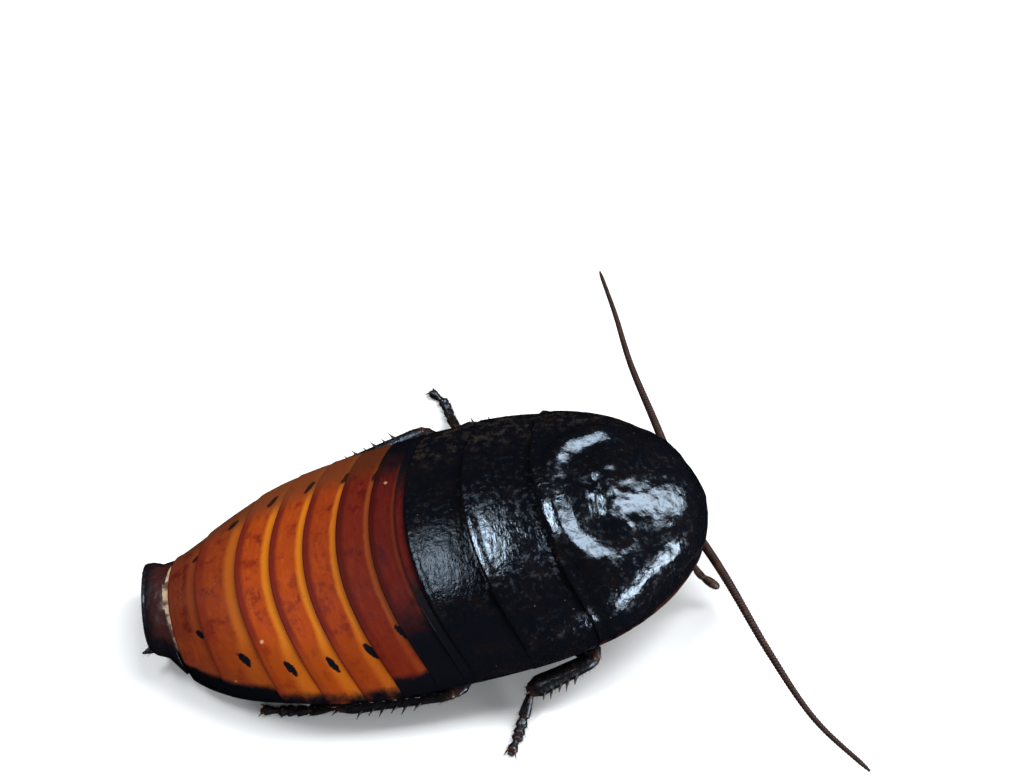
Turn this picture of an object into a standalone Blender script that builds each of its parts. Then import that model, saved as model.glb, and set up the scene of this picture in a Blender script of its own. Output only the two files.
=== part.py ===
"""Madagascar hissing cockroach, a still life-size model of an adult female.

The head points along +X, the animal's left side along +Y and its back along +Z.
The feet stand on z = 0, and the origin lies on that floor under the middle of the
whole figure's box, feelers included. Lengths are in metres.
Stations along the body are distances ahead of the last ring's hind edge.
"""
import math

import bmesh
import bpy
from mathutils import Vector

# Whole body
BODY_LENGTH = 0.060
WIDEST_STATION = 0.033
HALF_WIDTH = 0.0147
TAIL_REACH = 0.0370
TAIL_FULLNESS = (2.92, 1.08)
TAIL_BLOCK = (0.0054, 0.0010, 0.0030)
NOSE_FULLNESS = (2.7, 0.52)
TAIL_END = -0.0002
GAP = 0.0003

# Height of the back and of the side edge
WAIST_STATION = 0.012
WAIST_HEIGHT = 0.0098
CREST_STATION = 0.047
CREST_HEIGHT = 0.0155
TAIL_DROP = 0.0028
NOSE_DROP = 0.0069
NOSE_DROP_POWER = 3.5
EDGE_HEIGHT_TAIL = 0.0038
EDGE_HEIGHT_RISE = 0.0034
EDGE_DIP = 0.0020
EDGE_DIP_START = (0.0012, 0.0042)
EDGE_DIP_END = (0.0060, 0.0160)
BACK_ROUNDNESS = 0.81
TAIL_BEND = 0.0016
TAIL_BEND_REACH = 0.006

# Underside
BELLY_HEIGHT = 0.0010
BELLY_TAIL_HEIGHT = 0.0026
BELLY_TAIL_REACH = 0.010
BELLY_WAIST_HEIGHT = 0.0034
BELLY_WAIST_START = 0.0200
BELLY_WAIST_END = 0.0290
CHEST_HEIGHT = 0.0043
FLANK_INSET = 0.0003
BELLY_POWER = 2.3
CHEST_POWER = 1.3

# Shell plates: thickness, and how far a front edge lies below the plate before it
PLATE = 0.0011
STEP = 0.00035
STEP_POWER = 1.5
PLATE_COLUMNS = 20
PLATE_STRIPS = 3
CORE_COLUMNS = 14

# Hind edge of each back plate on the midline, and how far its corners sweep forward
NOTUM_EDGES = {"pronotum": 0.0422, "mesonotum": 0.0348, "metanotum": 0.0286}
NOTUM_SWEEPS = {"pronotum": 0.0036, "mesonotum": 0.0040, "metanotum": 0.0044}
TERGITE_EDGES = (0.0276, 0.0248, 0.0212, 0.0176, 0.0140, 0.0104, 0.0060, 0.0030)
TERGITE_SWEEPS = (0.0044, 0.0044, 0.0044, 0.0043, 0.0040, 0.0031, 0.0018, 0.0008)
STERNITE_EDGES = (0.0245, 0.0208, 0.0171, 0.0134, 0.0097, 0.0060)
STERNUM_EDGES = {"prosternum": 0.0424, "mesosternum": 0.0350, "metasternum": 0.0284}
PROSTERNUM_FRONT = 0.0515
NOSE_ROWS = 14
NOSE_TIP_SHARE = 0.999
NOSE_CROWDING = 1.9
RELIEF_FADE = 1.6

# Relief of the pronotum: station, side, length, width and height of each form
HUMP = (0.0498, 0.0042, 0.0022, 0.0018, 0.00055)
HOLLOW = (0.0462, 0.0050, 0.0016, 0.0022, -0.00040)
FRONT_HOLLOW = (0.0535, 0.0055, 0.0020, 0.0018, -0.00035)
FRONT_BAND = (0.0545, 0.0, 0.0030, 0.0022, 0.00035)

# Head: height, station, half width and half depth from crown to lip
HEAD_RINGS = (
    (0.00935, 0.0552, 0.0009, 0.0007),
    (0.00890, 0.0554, 0.0023, 0.0014),
    (0.00780, 0.0555, 0.0034, 0.0020),
    (0.00640, 0.0555, 0.0038, 0.0023),
    (0.00500, 0.0553, 0.0034, 0.0022),
    (0.00380, 0.0550, 0.0027, 0.0019),
    (0.00280, 0.0546, 0.0021, 0.0015),
    (0.00190, 0.0543, 0.0015, 0.0011),
    (0.00135, 0.0541, 0.0007, 0.0006),
)
HEAD_SIDES = 16
EYE_PLACE = (0.0561, 0.0031, 0.0070)
EYE_SIZE = (0.0010, 0.0010, 0.0017)
NECK_RADIUS = 0.0017
NECK_HEIGHT = 0.0066
NECK_END = 0.0545

# Feelers and palps
FEELER_BASE = 0.00050
FEELER_TIP = 0.00026
FEELER_RINGS = 26
FEELER_SIDES = 6
PALP_RADIUS = 0.00040
LABIAL_PALP_RADIUS = 0.00030

# Legs
COXA_SIZE = {"front": (0.0013, 0.0012), "middle": (0.0017, 0.0014), "hind": (0.0020, 0.0014)}
FEMUR_SIZE = {"front": (0.0009, 0.0007), "middle": (0.0015, 0.0010), "hind": (0.0016, 0.0010)}
TIBIA_SIZE = {"front": 0.00065, "middle": 0.00100, "hind": 0.00092}
SPINE_ROWS = {"front": 3, "middle": 5, "hind": 6}
SPINE_LENGTH = {"front": 0.0010, "middle": 0.0013, "hind": 0.0013}
SPINE_BASE = 0.00028
SPINE_TIP = 0.00006
SPINE_LEAN = 0.75
SPINE_TILTS = (-0.25, 0.75)
SPINES_FROM = 0.24
SPINES_TO = 0.78
TARSUS_RADIUS = 0.00046
TARSOMERES = 5
PAD_HALF_WIDTH = 0.00072
FOOT_CENTRE = 0.00036
CLAW_LENGTH = 0.0010
CLAW_SPREAD = 0.55
CLAW_TIP_HEIGHT = 0.00012
CERCUS_RADIUS = 0.00055
CERCUS_ROOT = (0.0018, 0.0038, 0.0029)
CERCUS_TIP = (-0.0011, 0.0048, 0.0033)

# Colours as RGB, then roughness
COLOURS = {
    "shell_black": ((0.012, 0.010, 0.012), 0.22),
    "shell_mahogany": ((0.095, 0.018, 0.012), 0.30),
    "shell_red": ((0.200, 0.035, 0.012), 0.32),
    "shell_orange": ((0.360, 0.095, 0.014), 0.34),
    "shell_brown": ((0.170, 0.050, 0.014), 0.34),
    "belly_brown": ((0.060, 0.026, 0.014), 0.40),
    "leg_brown": ((0.022, 0.012, 0.010), 0.34),
    "eye_black": ((0.010, 0.008, 0.008), 0.12),
    "feeler_brown": ((0.035, 0.014, 0.010), 0.45),
}
TERGITE_COLOURS = (
    "shell_mahogany", "shell_mahogany", "shell_red", "shell_red",
    "shell_orange", "shell_orange", "shell_brown", "shell_brown",
)


def mm(x, y, z):
    """A point given in millimetres."""
    return Vector((x, y, z)) / 1000.0


def smooth_step(value):
    """Ease from 0 to 1 as value runs from 0 to 1."""
    value = min(max(value, 0.0), 1.0)
    return value * value * (3.0 - 2.0 * value)


def tail_block(x):
    """Half the width of the blunt last ring."""
    width, start, reach = TAIL_BLOCK
    share = min(max(start - x, 0.0) / reach, 1.0)
    return width * (1.0 - share ** 2) ** 0.5


def half_width(x):
    """Half the body's width at station x: a tail that ends in a block and a rounded nose."""
    if x < WIDEST_STATION:
        share = min((WIDEST_STATION - x) / TAIL_REACH, 1.0)
        power, root = TAIL_FULLNESS
        least = tail_block(x)
    else:
        share = min((x - WIDEST_STATION) / (BODY_LENGTH - WIDEST_STATION), 1.0)
        power, root = NOSE_FULLNESS
        least = 0.0
    return max(HALF_WIDTH * (1.0 - share ** power) ** root, least)


def back_height(x):
    """Height of the back's midline at station x."""
    rise = smooth_step((x - WAIST_STATION) / (CREST_STATION - WAIST_STATION))
    tail = max(1.0 - x / WAIST_STATION, 0.0)
    nose = max((x - CREST_STATION) / (BODY_LENGTH - CREST_STATION), 0.0)
    height = WAIST_HEIGHT + (CREST_HEIGHT - WAIST_HEIGHT) * rise
    return height - TAIL_DROP * tail ** 2 - NOSE_DROP * nose ** NOSE_DROP_POWER


def edge_height(x):
    """Height of the shell's side edge at station x, with a dip beside the last tergites."""
    start, full = EDGE_DIP_START
    fading, end = EDGE_DIP_END
    dip = smooth_step((x - start) / (full - start)) * (1.0 - smooth_step((x - fading) / (end - fading)))
    return EDGE_HEIGHT_TAIL + EDGE_HEIGHT_RISE * x / BODY_LENGTH - EDGE_DIP * dip


def tail_bend(x):
    """Sideways shift of the midline: the last rings turn slightly to the left."""
    return TAIL_BEND * max(1.0 - x / TAIL_BEND_REACH, 0.0) ** 2


def belly_height(x):
    """Height of the abdomen's underside, which rises towards the tail and the waist."""
    tail = max(1.0 - x / BELLY_TAIL_REACH, 0.0) ** 2
    waist = smooth_step((x - BELLY_WAIST_START) / (BELLY_WAIST_END - BELLY_WAIST_START))
    rise = (BELLY_TAIL_HEIGHT - BELLY_HEIGHT) * tail
    return BELLY_HEIGHT + rise + (BELLY_WAIST_HEIGHT - BELLY_HEIGHT) * waist


def shell_point(x, angle, inset):
    """A point of the shell at station x, angle 0 on the left edge and pi on the right."""
    wide = half_width(x) - inset
    base = edge_height(x)
    tall = back_height(x) - inset - base
    y = tail_bend(x) + wide * math.cos(angle)
    return Vector((x, y, base + tall * max(math.sin(angle), 0.0) ** BACK_ROUNDNESS))


def arc(count):
    """Angles from the left edge over the back to the right edge."""
    return [math.pi * step / count for step in range(count + 1)]


def make_object(name, mesh_data, colour):
    """Turn a bmesh into a named object with its own material."""
    bmesh.ops.remove_doubles(mesh_data, verts=mesh_data.verts, dist=1e-7)
    bmesh.ops.triangulate(mesh_data, faces=mesh_data.faces)
    bmesh.ops.recalc_face_normals(mesh_data, faces=mesh_data.faces)
    mesh = bpy.data.meshes.new(name)
    mesh_data.to_mesh(mesh)
    mesh_data.free()
    made = bpy.data.objects.new(name, mesh)
    bpy.context.scene.collection.objects.link(made)
    if colour:
        mesh.materials.append(material_for(name, colour))
    return made


def material_for(name, colour):
    """A plain glossy material for one sub-part."""
    rgb, roughness = COLOURS[colour]
    material = bpy.data.materials.new(name)
    material.use_nodes = True
    shader = material.node_tree.nodes["Principled BSDF"]
    shader.inputs["Base Color"].default_value = (*rgb, 1.0)
    shader.inputs["Roughness"].default_value = roughness
    shader.inputs["Metallic"].default_value = 0.0
    return material


def shell_solid(name, outer, inner, colour):
    """A plate between an outer and an inner grid of points of the same size."""
    data = bmesh.new()
    rows = len(outer)
    columns = len(outer[0])
    top = [[data.verts.new(point) for point in row] for row in outer]
    under = [[data.verts.new(point) for point in row] for row in inner]
    for row in range(rows - 1):
        for column in range(columns - 1):
            for grid in (top, under):
                data.faces.new((
                    grid[row][column], grid[row][column + 1],
                    grid[row + 1][column + 1], grid[row + 1][column],
                ))
    border = [(0, column) for column in range(columns)]
    border += [(row, columns - 1) for row in range(1, rows)]
    border += [(rows - 1, column) for column in range(columns - 2, -1, -1)]
    border += [(row, 0) for row in range(rows - 2, 0, -1)]
    for here, there in zip(border, border[1:] + border[:1]):
        data.faces.new((
            top[here[0]][here[1]], top[there[0]][there[1]],
            under[there[0]][there[1]], under[here[0]][here[1]],
        ))
    return make_object(name, data, colour)


def loft(name, rings, colour=None):
    """A closed body through rings of points, with flat ends."""
    data = bmesh.new()
    loops = [[data.verts.new(point) for point in ring] for ring in rings]
    sides = len(loops[0])
    for first, second in zip(loops, loops[1:]):
        for side in range(sides):
            after = (side + 1) % sides
            data.faces.new((first[side], first[after], second[after], second[side]))
    data.faces.new(loops[0])
    data.faces.new(loops[-1])
    return make_object(name, data, colour)


def smooth_path(points, count):
    """Evenly stepped points on a smooth curve through the given ones."""
    ends = [2 * points[0] - points[1], *points, 2 * points[-1] - points[-2]]
    path = []
    spans = len(points) - 1
    for step in range(count):
        place = spans * step / (count - 1)
        span = min(int(place), spans - 1)
        t = place - span
        a, b, c, d = ends[span:span + 4]
        path.append(0.5 * (
            2 * b + (c - a) * t
            + (2 * a - 5 * b + 4 * c - d) * t ** 2
            + (3 * b - a - 3 * c + d) * t ** 3
        ))
    return path


def tube(name, path, sizes, sides, colour=None, floor=False):
    """A closed limb along a path, with (across, upright) half sizes at each point."""
    rings = []
    last = len(path) - 1
    for index, (centre, (across, upright)) in enumerate(zip(path, sizes)):
        along = (path[min(index + 1, last)] - path[max(index - 1, 0)]).normalized()
        side = along.cross(Vector((0.0, 0.0, 1.0))).normalized()
        up = side.cross(along)
        ring = []
        for corner in range(sides):
            turn = 2 * math.pi * (corner + 0.5) / sides
            point = centre + side * across * math.sin(turn) - up * upright * math.cos(turn)
            if floor:
                point.z = max(point.z, 0.0)
            ring.append(point)
        rings.append(ring)
    return loft(name, rings, colour)


def spindle(root, tip, size, sides, shape, grow=0.0):
    """A tapering limb between two points: shape lists (place, share of size)."""
    along = (tip - root).normalized()
    path = [root + (tip - root) * place for place, share in shape]
    path[0] -= along * grow
    path[-1] += along * grow
    sizes = [(size[0] * share + grow, size[1] * share + grow) for place, share in shape]
    return path, sizes, sides


def cone(name, root, tip, base, point=SPINE_TIP, sides=4):
    """A closed cone from a root inside its limb to a fine tip."""
    return tube(name, [root, tip], [(base, base), (point, point)], sides)


def ellipsoid(name, centre, size, colour=None, grow=0.0, segments=12, rings=8):
    """A closed ellipsoid with half sizes along the three axes."""
    data = bmesh.new()
    bmesh.ops.create_uvsphere(data, u_segments=segments, v_segments=rings, radius=1.0)
    for vertex in data.verts:
        vertex.co = Vector([c + v * (s + grow) for c, v, s in zip(centre, vertex.co, size)])
    return make_object(name, data, colour)


def apply_boolean(target, pieces, operation):
    """Join pieces to a body, or cut them from it, and keep its largest closed surface."""
    group = bpy.data.collections.new(target.name + "_pieces")
    bpy.context.scene.collection.children.link(group)
    for piece in pieces:
        bpy.context.scene.collection.objects.unlink(piece)
        group.objects.link(piece)
    modifier = target.modifiers.new(operation.title(), "BOOLEAN")
    modifier.operation = operation
    modifier.operand_type = "COLLECTION"
    modifier.collection = group
    modifier.solver = "EXACT"
    bpy.context.view_layer.update()
    graph = bpy.context.evaluated_depsgraph_get()
    mesh = bpy.data.meshes.new_from_object(target.evaluated_get(graph))
    target.modifiers.clear()
    target.data = mesh
    for piece in pieces:
        bpy.data.objects.remove(piece)
    bpy.data.collections.remove(group)
    keep_largest(target)


def keep_largest(target):
    """Drop every closed surface of a body but the one with the largest box."""
    data = bmesh.new()
    data.from_mesh(target.data)
    left = set(data.verts)
    groups = []
    while left:
        group = {left.pop()}
        edge = list(group)
        while edge:
            vertex = edge.pop()
            for link in vertex.link_edges:
                other = link.other_vert(vertex)
                if other in left:
                    left.discard(other)
                    group.add(other)
                    edge.append(other)
        groups.append(group)
    groups.sort(key=box_diagonal)
    for group in groups[:-1]:
        bmesh.ops.delete(data, geom=list(group), context="VERTS")
    bmesh.ops.triangulate(data, faces=data.faces)
    data.to_mesh(target.data)
    data.free()


def box_diagonal(vertices):
    """Length of the diagonal of the box around some vertices."""
    spans = [max(v.co[axis] for v in vertices) - min(v.co[axis] for v in vertices) for axis in range(3)]
    return math.hypot(*spans)


def relief(x, y):
    """Height of the pronotum's humps and hollows over its smooth dome."""
    total = 0.0
    for station, side, length, width, height in (HUMP, HOLLOW, FRONT_HOLLOW, FRONT_BAND):
        along = ((x - station) / length) ** 2
        across = ((abs(y) - side) / width) ** 2
        total += height * math.exp(-0.5 * (along + across))
    return total


def make_plate(name, front, hind, sweeps, colour, columns=PLATE_COLUMNS, strips=PLATE_STRIPS):
    """A back plate between two curved edges, its hind edge raised over the next plate."""
    outer = []
    inner = []
    for strip in range(strips + 1):
        share = strip / strips
        inset = STEP * (1.0 - share) ** STEP_POWER
        outer_row = []
        inner_row = []
        for angle in arc(columns):
            bulge = math.cos(angle) ** 2
            start = front + sweeps[0] * bulge - GAP / 2
            end = hind + sweeps[1] * bulge + GAP / 2
            x = start + (end - start) * share
            outer_row.append(shell_point(x, angle, inset))
            inner_row.append(shell_point(x, angle, PLATE))
        outer.append(outer_row)
        inner.append(inner_row)
    return shell_solid(name, outer, inner, colour)


def make_pronotum():
    """The hood over the head: a domed shield with low humps and a rounded nose."""
    hind = NOTUM_EDGES["pronotum"] + GAP / 2
    sweep = NOTUM_SWEEPS["pronotum"]
    outer = []
    inner = []
    for row in range(NOSE_ROWS + 1):
        share = (1.0 - (1.0 - row / NOSE_ROWS) ** NOSE_CROWDING) * NOSE_TIP_SHARE
        outer_row = []
        inner_row = []
        for angle in arc(PLATE_COLUMNS + 4):
            start = hind + sweep * math.cos(angle) ** 2
            x = start + (BODY_LENGTH - start) * share
            point = shell_point(x, angle, 0.0)
            base = edge_height(x)
            lift = point.z - base
            fade = min(lift / (CREST_HEIGHT - base) * RELIEF_FADE, 1.0)
            x_in = start + (BODY_LENGTH - PLATE - start) * share
            inner_row.append(Vector((
                x_in,
                point.y * (1.0 - PLATE / HALF_WIDTH),
                base + lift * (1.0 - PLATE / (CREST_HEIGHT - base)),
            )))
            point.z += relief(x, point.y) * fade
            outer_row.append(point)
        outer.append(outer_row)
        inner.append(inner_row)
    return shell_solid("pronotum", outer, inner, "shell_black")


def core_section(x, bottom, power, grow=0.0):
    """Outline of the body under its shell at station x, from the left edge and round."""
    base = edge_height(x) - GAP
    shift = tail_bend(x)
    ring = [shell_point(x, angle, PLATE + GAP) for angle in arc(CORE_COLUMNS)]
    inner = half_width(x) - PLATE - GAP
    outer = half_width(x) - FLANK_INSET
    ring.append(Vector((x, shift - inner, base)))
    for angle in arc(CORE_COLUMNS):
        side = -math.cos(angle)
        lift = abs(side) ** power
        z = bottom + (base - bottom) * lift - grow
        ring.append(Vector((x, shift + outer * side, z)))
    ring.append(Vector((x, shift + inner, base)))
    return ring


def make_core(name, front, hind, bottom, power, colour, strips=2):
    """One ring of the body under its shell, from front to hind station."""
    rings = []
    start = front - GAP / 2
    end = hind + GAP / 2
    for strip in range(strips + 1):
        x = start + (end - start) * strip / strips
        rings.append(core_section(x, bottom(x), power))
    return loft(name, rings, colour)


def make_thorax():
    """The three back plates of the thorax and the body under each."""
    make_pronotum()
    edges = dict(NOTUM_EDGES)
    sweeps = dict(NOTUM_SWEEPS)
    for name, before in (("mesonotum", "pronotum"), ("metanotum", "mesonotum")):
        pair = (sweeps[before], sweeps[name])
        make_plate(name, edges[before], edges[name], pair, "shell_black", PLATE_COLUMNS, 4)
    front = PROSTERNUM_FRONT
    for name, hind in STERNUM_EDGES.items():
        make_core(name, front, hind, lambda x: CHEST_HEIGHT, CHEST_POWER, "belly_brown")
        front = hind


def make_abdomen():
    """Eight tergites, the supra-anal plate, the underside and the two cerci."""
    front = NOTUM_EDGES["metanotum"]
    sweep = NOTUM_SWEEPS["metanotum"]
    for number, hind in enumerate(TERGITE_EDGES):
        pair = (sweep, TERGITE_SWEEPS[number])
        make_plate(f"tergite_{number + 1}", front, hind, pair, TERGITE_COLOURS[number])
        front = hind
        sweep = TERGITE_SWEEPS[number]
    make_plate("supra_anal_plate", front, TAIL_END, (sweep, 0.0), "shell_black")
    front = STERNUM_EDGES["metasternum"]
    for number, hind in enumerate(STERNITE_EDGES):
        make_core(f"sternite_{number + 1}", front, hind, belly_height, BELLY_POWER, "belly_brown")
        front = hind
    end = make_core(
        "subgenital_plate", front, TAIL_END, belly_height, BELLY_POWER, "belly_brown", 3
    )
    sockets = []
    for side, name in ((1, "cercus_left"), (-1, "cercus_right")):
        root = Vector((CERCUS_ROOT[0], tail_bend(0.0) + side * CERCUS_ROOT[1], CERCUS_ROOT[2]))
        tip = Vector((CERCUS_TIP[0], tail_bend(0.0) + side * CERCUS_TIP[1], CERCUS_TIP[2]))
        shape = ((0.0, 0.8), (0.3, 1.0), (0.75, 0.7), (1.0, 0.25))
        size = (CERCUS_RADIUS, CERCUS_RADIUS)
        tube(name, *spindle(root, tip, size, 8, shape), "leg_brown")
        sockets.append(tube(name + "_socket", *spindle(root, tip, size, 8, shape, GAP)))
    apply_boolean(end, sockets, "DIFFERENCE")


FEELER_PATHS = {
    "antenna_right": (
        mm(57.2, -1.9, 6.2), mm(58.4, -3.5, 6.0), mm(60.2, -8.5, 5.0), mm(62.4, -16.3, 3.5),
        mm(65.0, -23.6, 2.3), mm(68.8, -29.4, 1.4),
    ),
    "antenna_left": (
        mm(57.2, 1.9, 6.2), mm(57.9, 4.6, 5.9), mm(57.4, 10.9, 6.1), mm(56.5, 20.0, 6.0),
        mm(56.4, 28.0, 5.6), mm(56.1, 35.5, 5.0),
    ),
}
PALP_PATHS = {
    "maxillary_palp_right": (
        mm(55.2, -1.9, 3.4), mm(56.2, -3.6, 4.4), mm(57.2, -5.4, 4.5), mm(57.9, -6.8, 3.8),
        mm(59.4, -7.9, 2.7),
    ),
    "maxillary_palp_left": (
        mm(55.2, 1.9, 3.4), mm(56.2, 3.5, 3.9), mm(57.0, 4.9, 3.3), mm(57.7, 5.8, 2.3),
        mm(58.6, 6.2, 1.3),
    ),
    "labial_palp_right": (mm(54.6, -0.8, 2.2), mm(55.9, -1.7, 1.5), mm(57.0, -2.2, 0.9)),
    "labial_palp_left": (mm(54.6, 0.8, 2.2), mm(55.9, 1.7, 1.5), mm(57.0, 2.2, 0.9)),
}


def head_rings(grow=0.0):
    """Rings of the head from its crown down to its lip."""
    rings = []
    for index, (height, station, wide, deep) in enumerate(HEAD_RINGS):
        if index == 0:
            height += grow
        if index == len(HEAD_RINGS) - 1:
            height -= grow
        ring = []
        for corner in range(HEAD_SIDES):
            turn = 2 * math.pi * corner / HEAD_SIDES
            x = station + (deep + grow) * math.cos(turn)
            ring.append(Vector((x, (wide + grow) * math.sin(turn), height)))
        rings.append(ring)
    return rings


def feeler_sizes(count):
    """A stout first joint, then an even taper to the tip."""
    sizes = []
    for step in range(count):
        radius = FEELER_BASE + (FEELER_TIP - FEELER_BASE) * step / (count - 1)
        if step < 3:
            radius = FEELER_BASE * 1.15
        sizes.append((radius, radius))
    return sizes


def palp_sizes(count, radius):
    """A slender palp that swells at its last joint."""
    swell = [0.85 + 0.45 * smooth_step(2.0 * step / (count - 1) - 1.0) for step in range(count)]
    swell[-1] = 0.8
    return [(radius * share, radius * share) for share in swell]


def make_head():
    """The head under the hood, with eyes, feelers, palps and a short neck."""
    head = loft("head", head_rings(), "shell_black")
    sockets = []
    for side, name in ((1, "eye_left"), (-1, "eye_right")):
        centre = Vector((EYE_PLACE[0], side * EYE_PLACE[1], EYE_PLACE[2]))
        ellipsoid(name, centre, EYE_SIZE, "eye_black")
        sockets.append(ellipsoid(name + "_socket", centre, EYE_SIZE, None, GAP))
    for name, points in FEELER_PATHS.items():
        path = smooth_path(points, FEELER_RINGS)
        tube(name, path, feeler_sizes(FEELER_RINGS), FEELER_SIDES, "feeler_brown")
        hole = (FEELER_BASE * 1.15 + GAP,) * 3
        sockets.append(ellipsoid(name + "_socket", points[0] + mm(0.2, 0, 0), hole, None, GAP))
    for name, points in PALP_PATHS.items():
        count = 4 * len(points) - 6
        radius = LABIAL_PALP_RADIUS if name.startswith("labial") else PALP_RADIUS
        path = smooth_path(points, count)
        sizes = palp_sizes(count, radius)
        tube(name, path, sizes, 6, "feeler_brown")
        grown = [(across + GAP, upright + GAP) for across, upright in sizes]
        first = path[0] - (path[1] - path[0]).normalized() * GAP
        sockets.append(tube(name + "_socket", [first, *path[1:]], grown, 8))
    apply_boolean(head, sockets, "DIFFERENCE")
    ring_path = [Vector((x, 0.0, NECK_HEIGHT)) for x in (PROSTERNUM_FRONT + GAP / 2, NECK_END)]
    neck = tube("neck", ring_path, [(NECK_RADIUS, NECK_RADIUS)] * 2, 12, "belly_brown")
    apply_boolean(neck, [loft("head_clearance", head_rings(GAP))], "DIFFERENCE")


def toe(x, y):
    """The middle of a toe joint that lies on the floor, from millimetres."""
    return Vector((x / 1000.0, y / 1000.0, FOOT_CENTRE))


# Hip, end of the coxa, knee, heel, and the toe joints from the heel to the claws
LEGS = {
    "front_right": (
        mm(52.4, -2.5, 3.8), mm(48.6, -5.0, 2.1), mm(53.3, -6.2, 3.1), mm(49.9, -7.2, 1.5),
        (mm(48.3, -7.4, 0.70), toe(46.6, -7.5), toe(45.3, -7.5)),
    ),
    "front_left": (
        mm(52.4, 2.5, 3.8), mm(48.6, 5.0, 2.1), mm(53.3, 6.6, 3.1), mm(50.2, 8.6, 1.5),
        (mm(48.9, 9.4, 0.70), toe(47.4, 10.2), toe(46.2, 10.7)),
    ),
    "middle_right": (
        mm(46.4, -2.6, 3.8), mm(41.6, -6.8, 2.3), mm(45.2, -13.9, 4.2), mm(38.3, -15.2, 2.6),
        (mm(37.1, -17.0, 0.90), toe(36.1, -18.8), toe(35.3, -20.1)),
    ),
    "middle_left": (
        mm(46.4, 2.6, 3.8), mm(41.6, 6.8, 2.3), mm(43.8, 15.2, 4.2), mm(35.8, 17.4, 2.8),
        (mm(35.0, 20.6, 1.05), toe(34.5, 23.6), toe(33.3, 25.4)),
    ),
    "hind_right": (
        mm(39.6, -2.8, 3.8), mm(35.0, -6.4, 2.3), mm(30.5, -14.5, 3.8), mm(18.8, -12.7, 2.1),
        (mm(15.7, -12.0, 0.85), toe(12.8, -11.3), toe(10.8, -10.8)),
    ),
    "hind_left": (
        mm(39.6, 2.8, 3.8), mm(35.0, 6.4, 2.3), mm(31.7, 17.3, 4.4), mm(20.4, 15.4, 2.1),
        (mm(16.9, 14.2, 0.85), toe(13.9, 13.2), toe(11.9, 12.6)),
    ),
}
COXA_SHAPE = ((0.0, 0.75), (0.25, 1.0), (0.6, 0.95), (0.85, 0.75), (1.0, 0.5))
FEMUR_SHAPE = ((0.0, 0.55), (0.12, 0.85), (0.4, 1.0), (0.7, 0.92), (0.92, 0.8), (1.0, 0.5))
TIBIA_SHAPE = ((0.0, 0.65), (0.12, 0.85), (0.5, 0.95), (0.88, 1.1), (1.0, 0.8))


def make_spines(name, knee, heel, radius, pair, outward):
    """Two rows of spines along a tibia, leaning towards its foot."""
    along = (heel - knee).normalized()
    down = Vector((0.0, 0.0, -1.0))
    down -= along * down.dot(along)
    down.normalize()
    out = along.cross(down).normalized()
    if out.y * outward < 0:
        out = -out
    spines = []
    rows = SPINE_ROWS[pair]
    for place in range(rows):
        for row, tilt in enumerate(SPINE_TILTS):
            share = SPINES_FROM + (SPINES_TO - SPINES_FROM) * (place + 0.4 * row) / (rows - 0.6)
            root = knee.lerp(heel, share)
            aim = (out * math.cos(tilt) + down * math.sin(tilt) + along * SPINE_LEAN).normalized()
            length = SPINE_LENGTH[pair] * (1.0 - 0.22 * ((place + row) % 2))
            start = root + aim * radius * 0.45
            tip = start + aim * (radius * 0.55 + length)
            tip.z = max(tip.z, 0.0002)
            label = f"{name}_spine_{place}_{tilt}"
            spines.append(cone(label, start, tip, SPINE_BASE))
    return spines


def make_tarsus(name, heel, toe_points):
    """Five short joints, a flat pad on the floor and two claws."""
    path = smooth_path([heel, *toe_points], 2 * TARSOMERES + 2)
    sizes = []
    for index in range(len(path)):
        share = 0.82 if index % 2 == 0 else 1.12
        sizes.append((TARSUS_RADIUS * share, TARSUS_RADIUS * share))
    sizes[-3] = (PAD_HALF_WIDTH * 0.8, TARSUS_RADIUS * 1.05)
    sizes[-2] = (PAD_HALF_WIDTH, TARSUS_RADIUS * 1.05)
    sizes[-1] = (PAD_HALF_WIDTH * 0.75, TARSUS_RADIUS * 0.95)
    tarsus = tube(name, path, sizes, 8, "leg_brown", floor=True)
    ahead = (path[-1] - path[-2]).normalized()
    side = ahead.cross(Vector((0.0, 0.0, 1.0)))
    claws = []
    for turn in (-1, 1):
        aim = (ahead + side * turn * CLAW_SPREAD).normalized()
        root = path[-1] - ahead * 0.00025 + side * turn * 0.00025
        tip = root + aim * CLAW_LENGTH
        tip.z = CLAW_TIP_HEIGHT
        claws.append(cone(f"{name}_claw_{turn}", root, tip, SPINE_BASE * 0.95))
    return tarsus, claws


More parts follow.
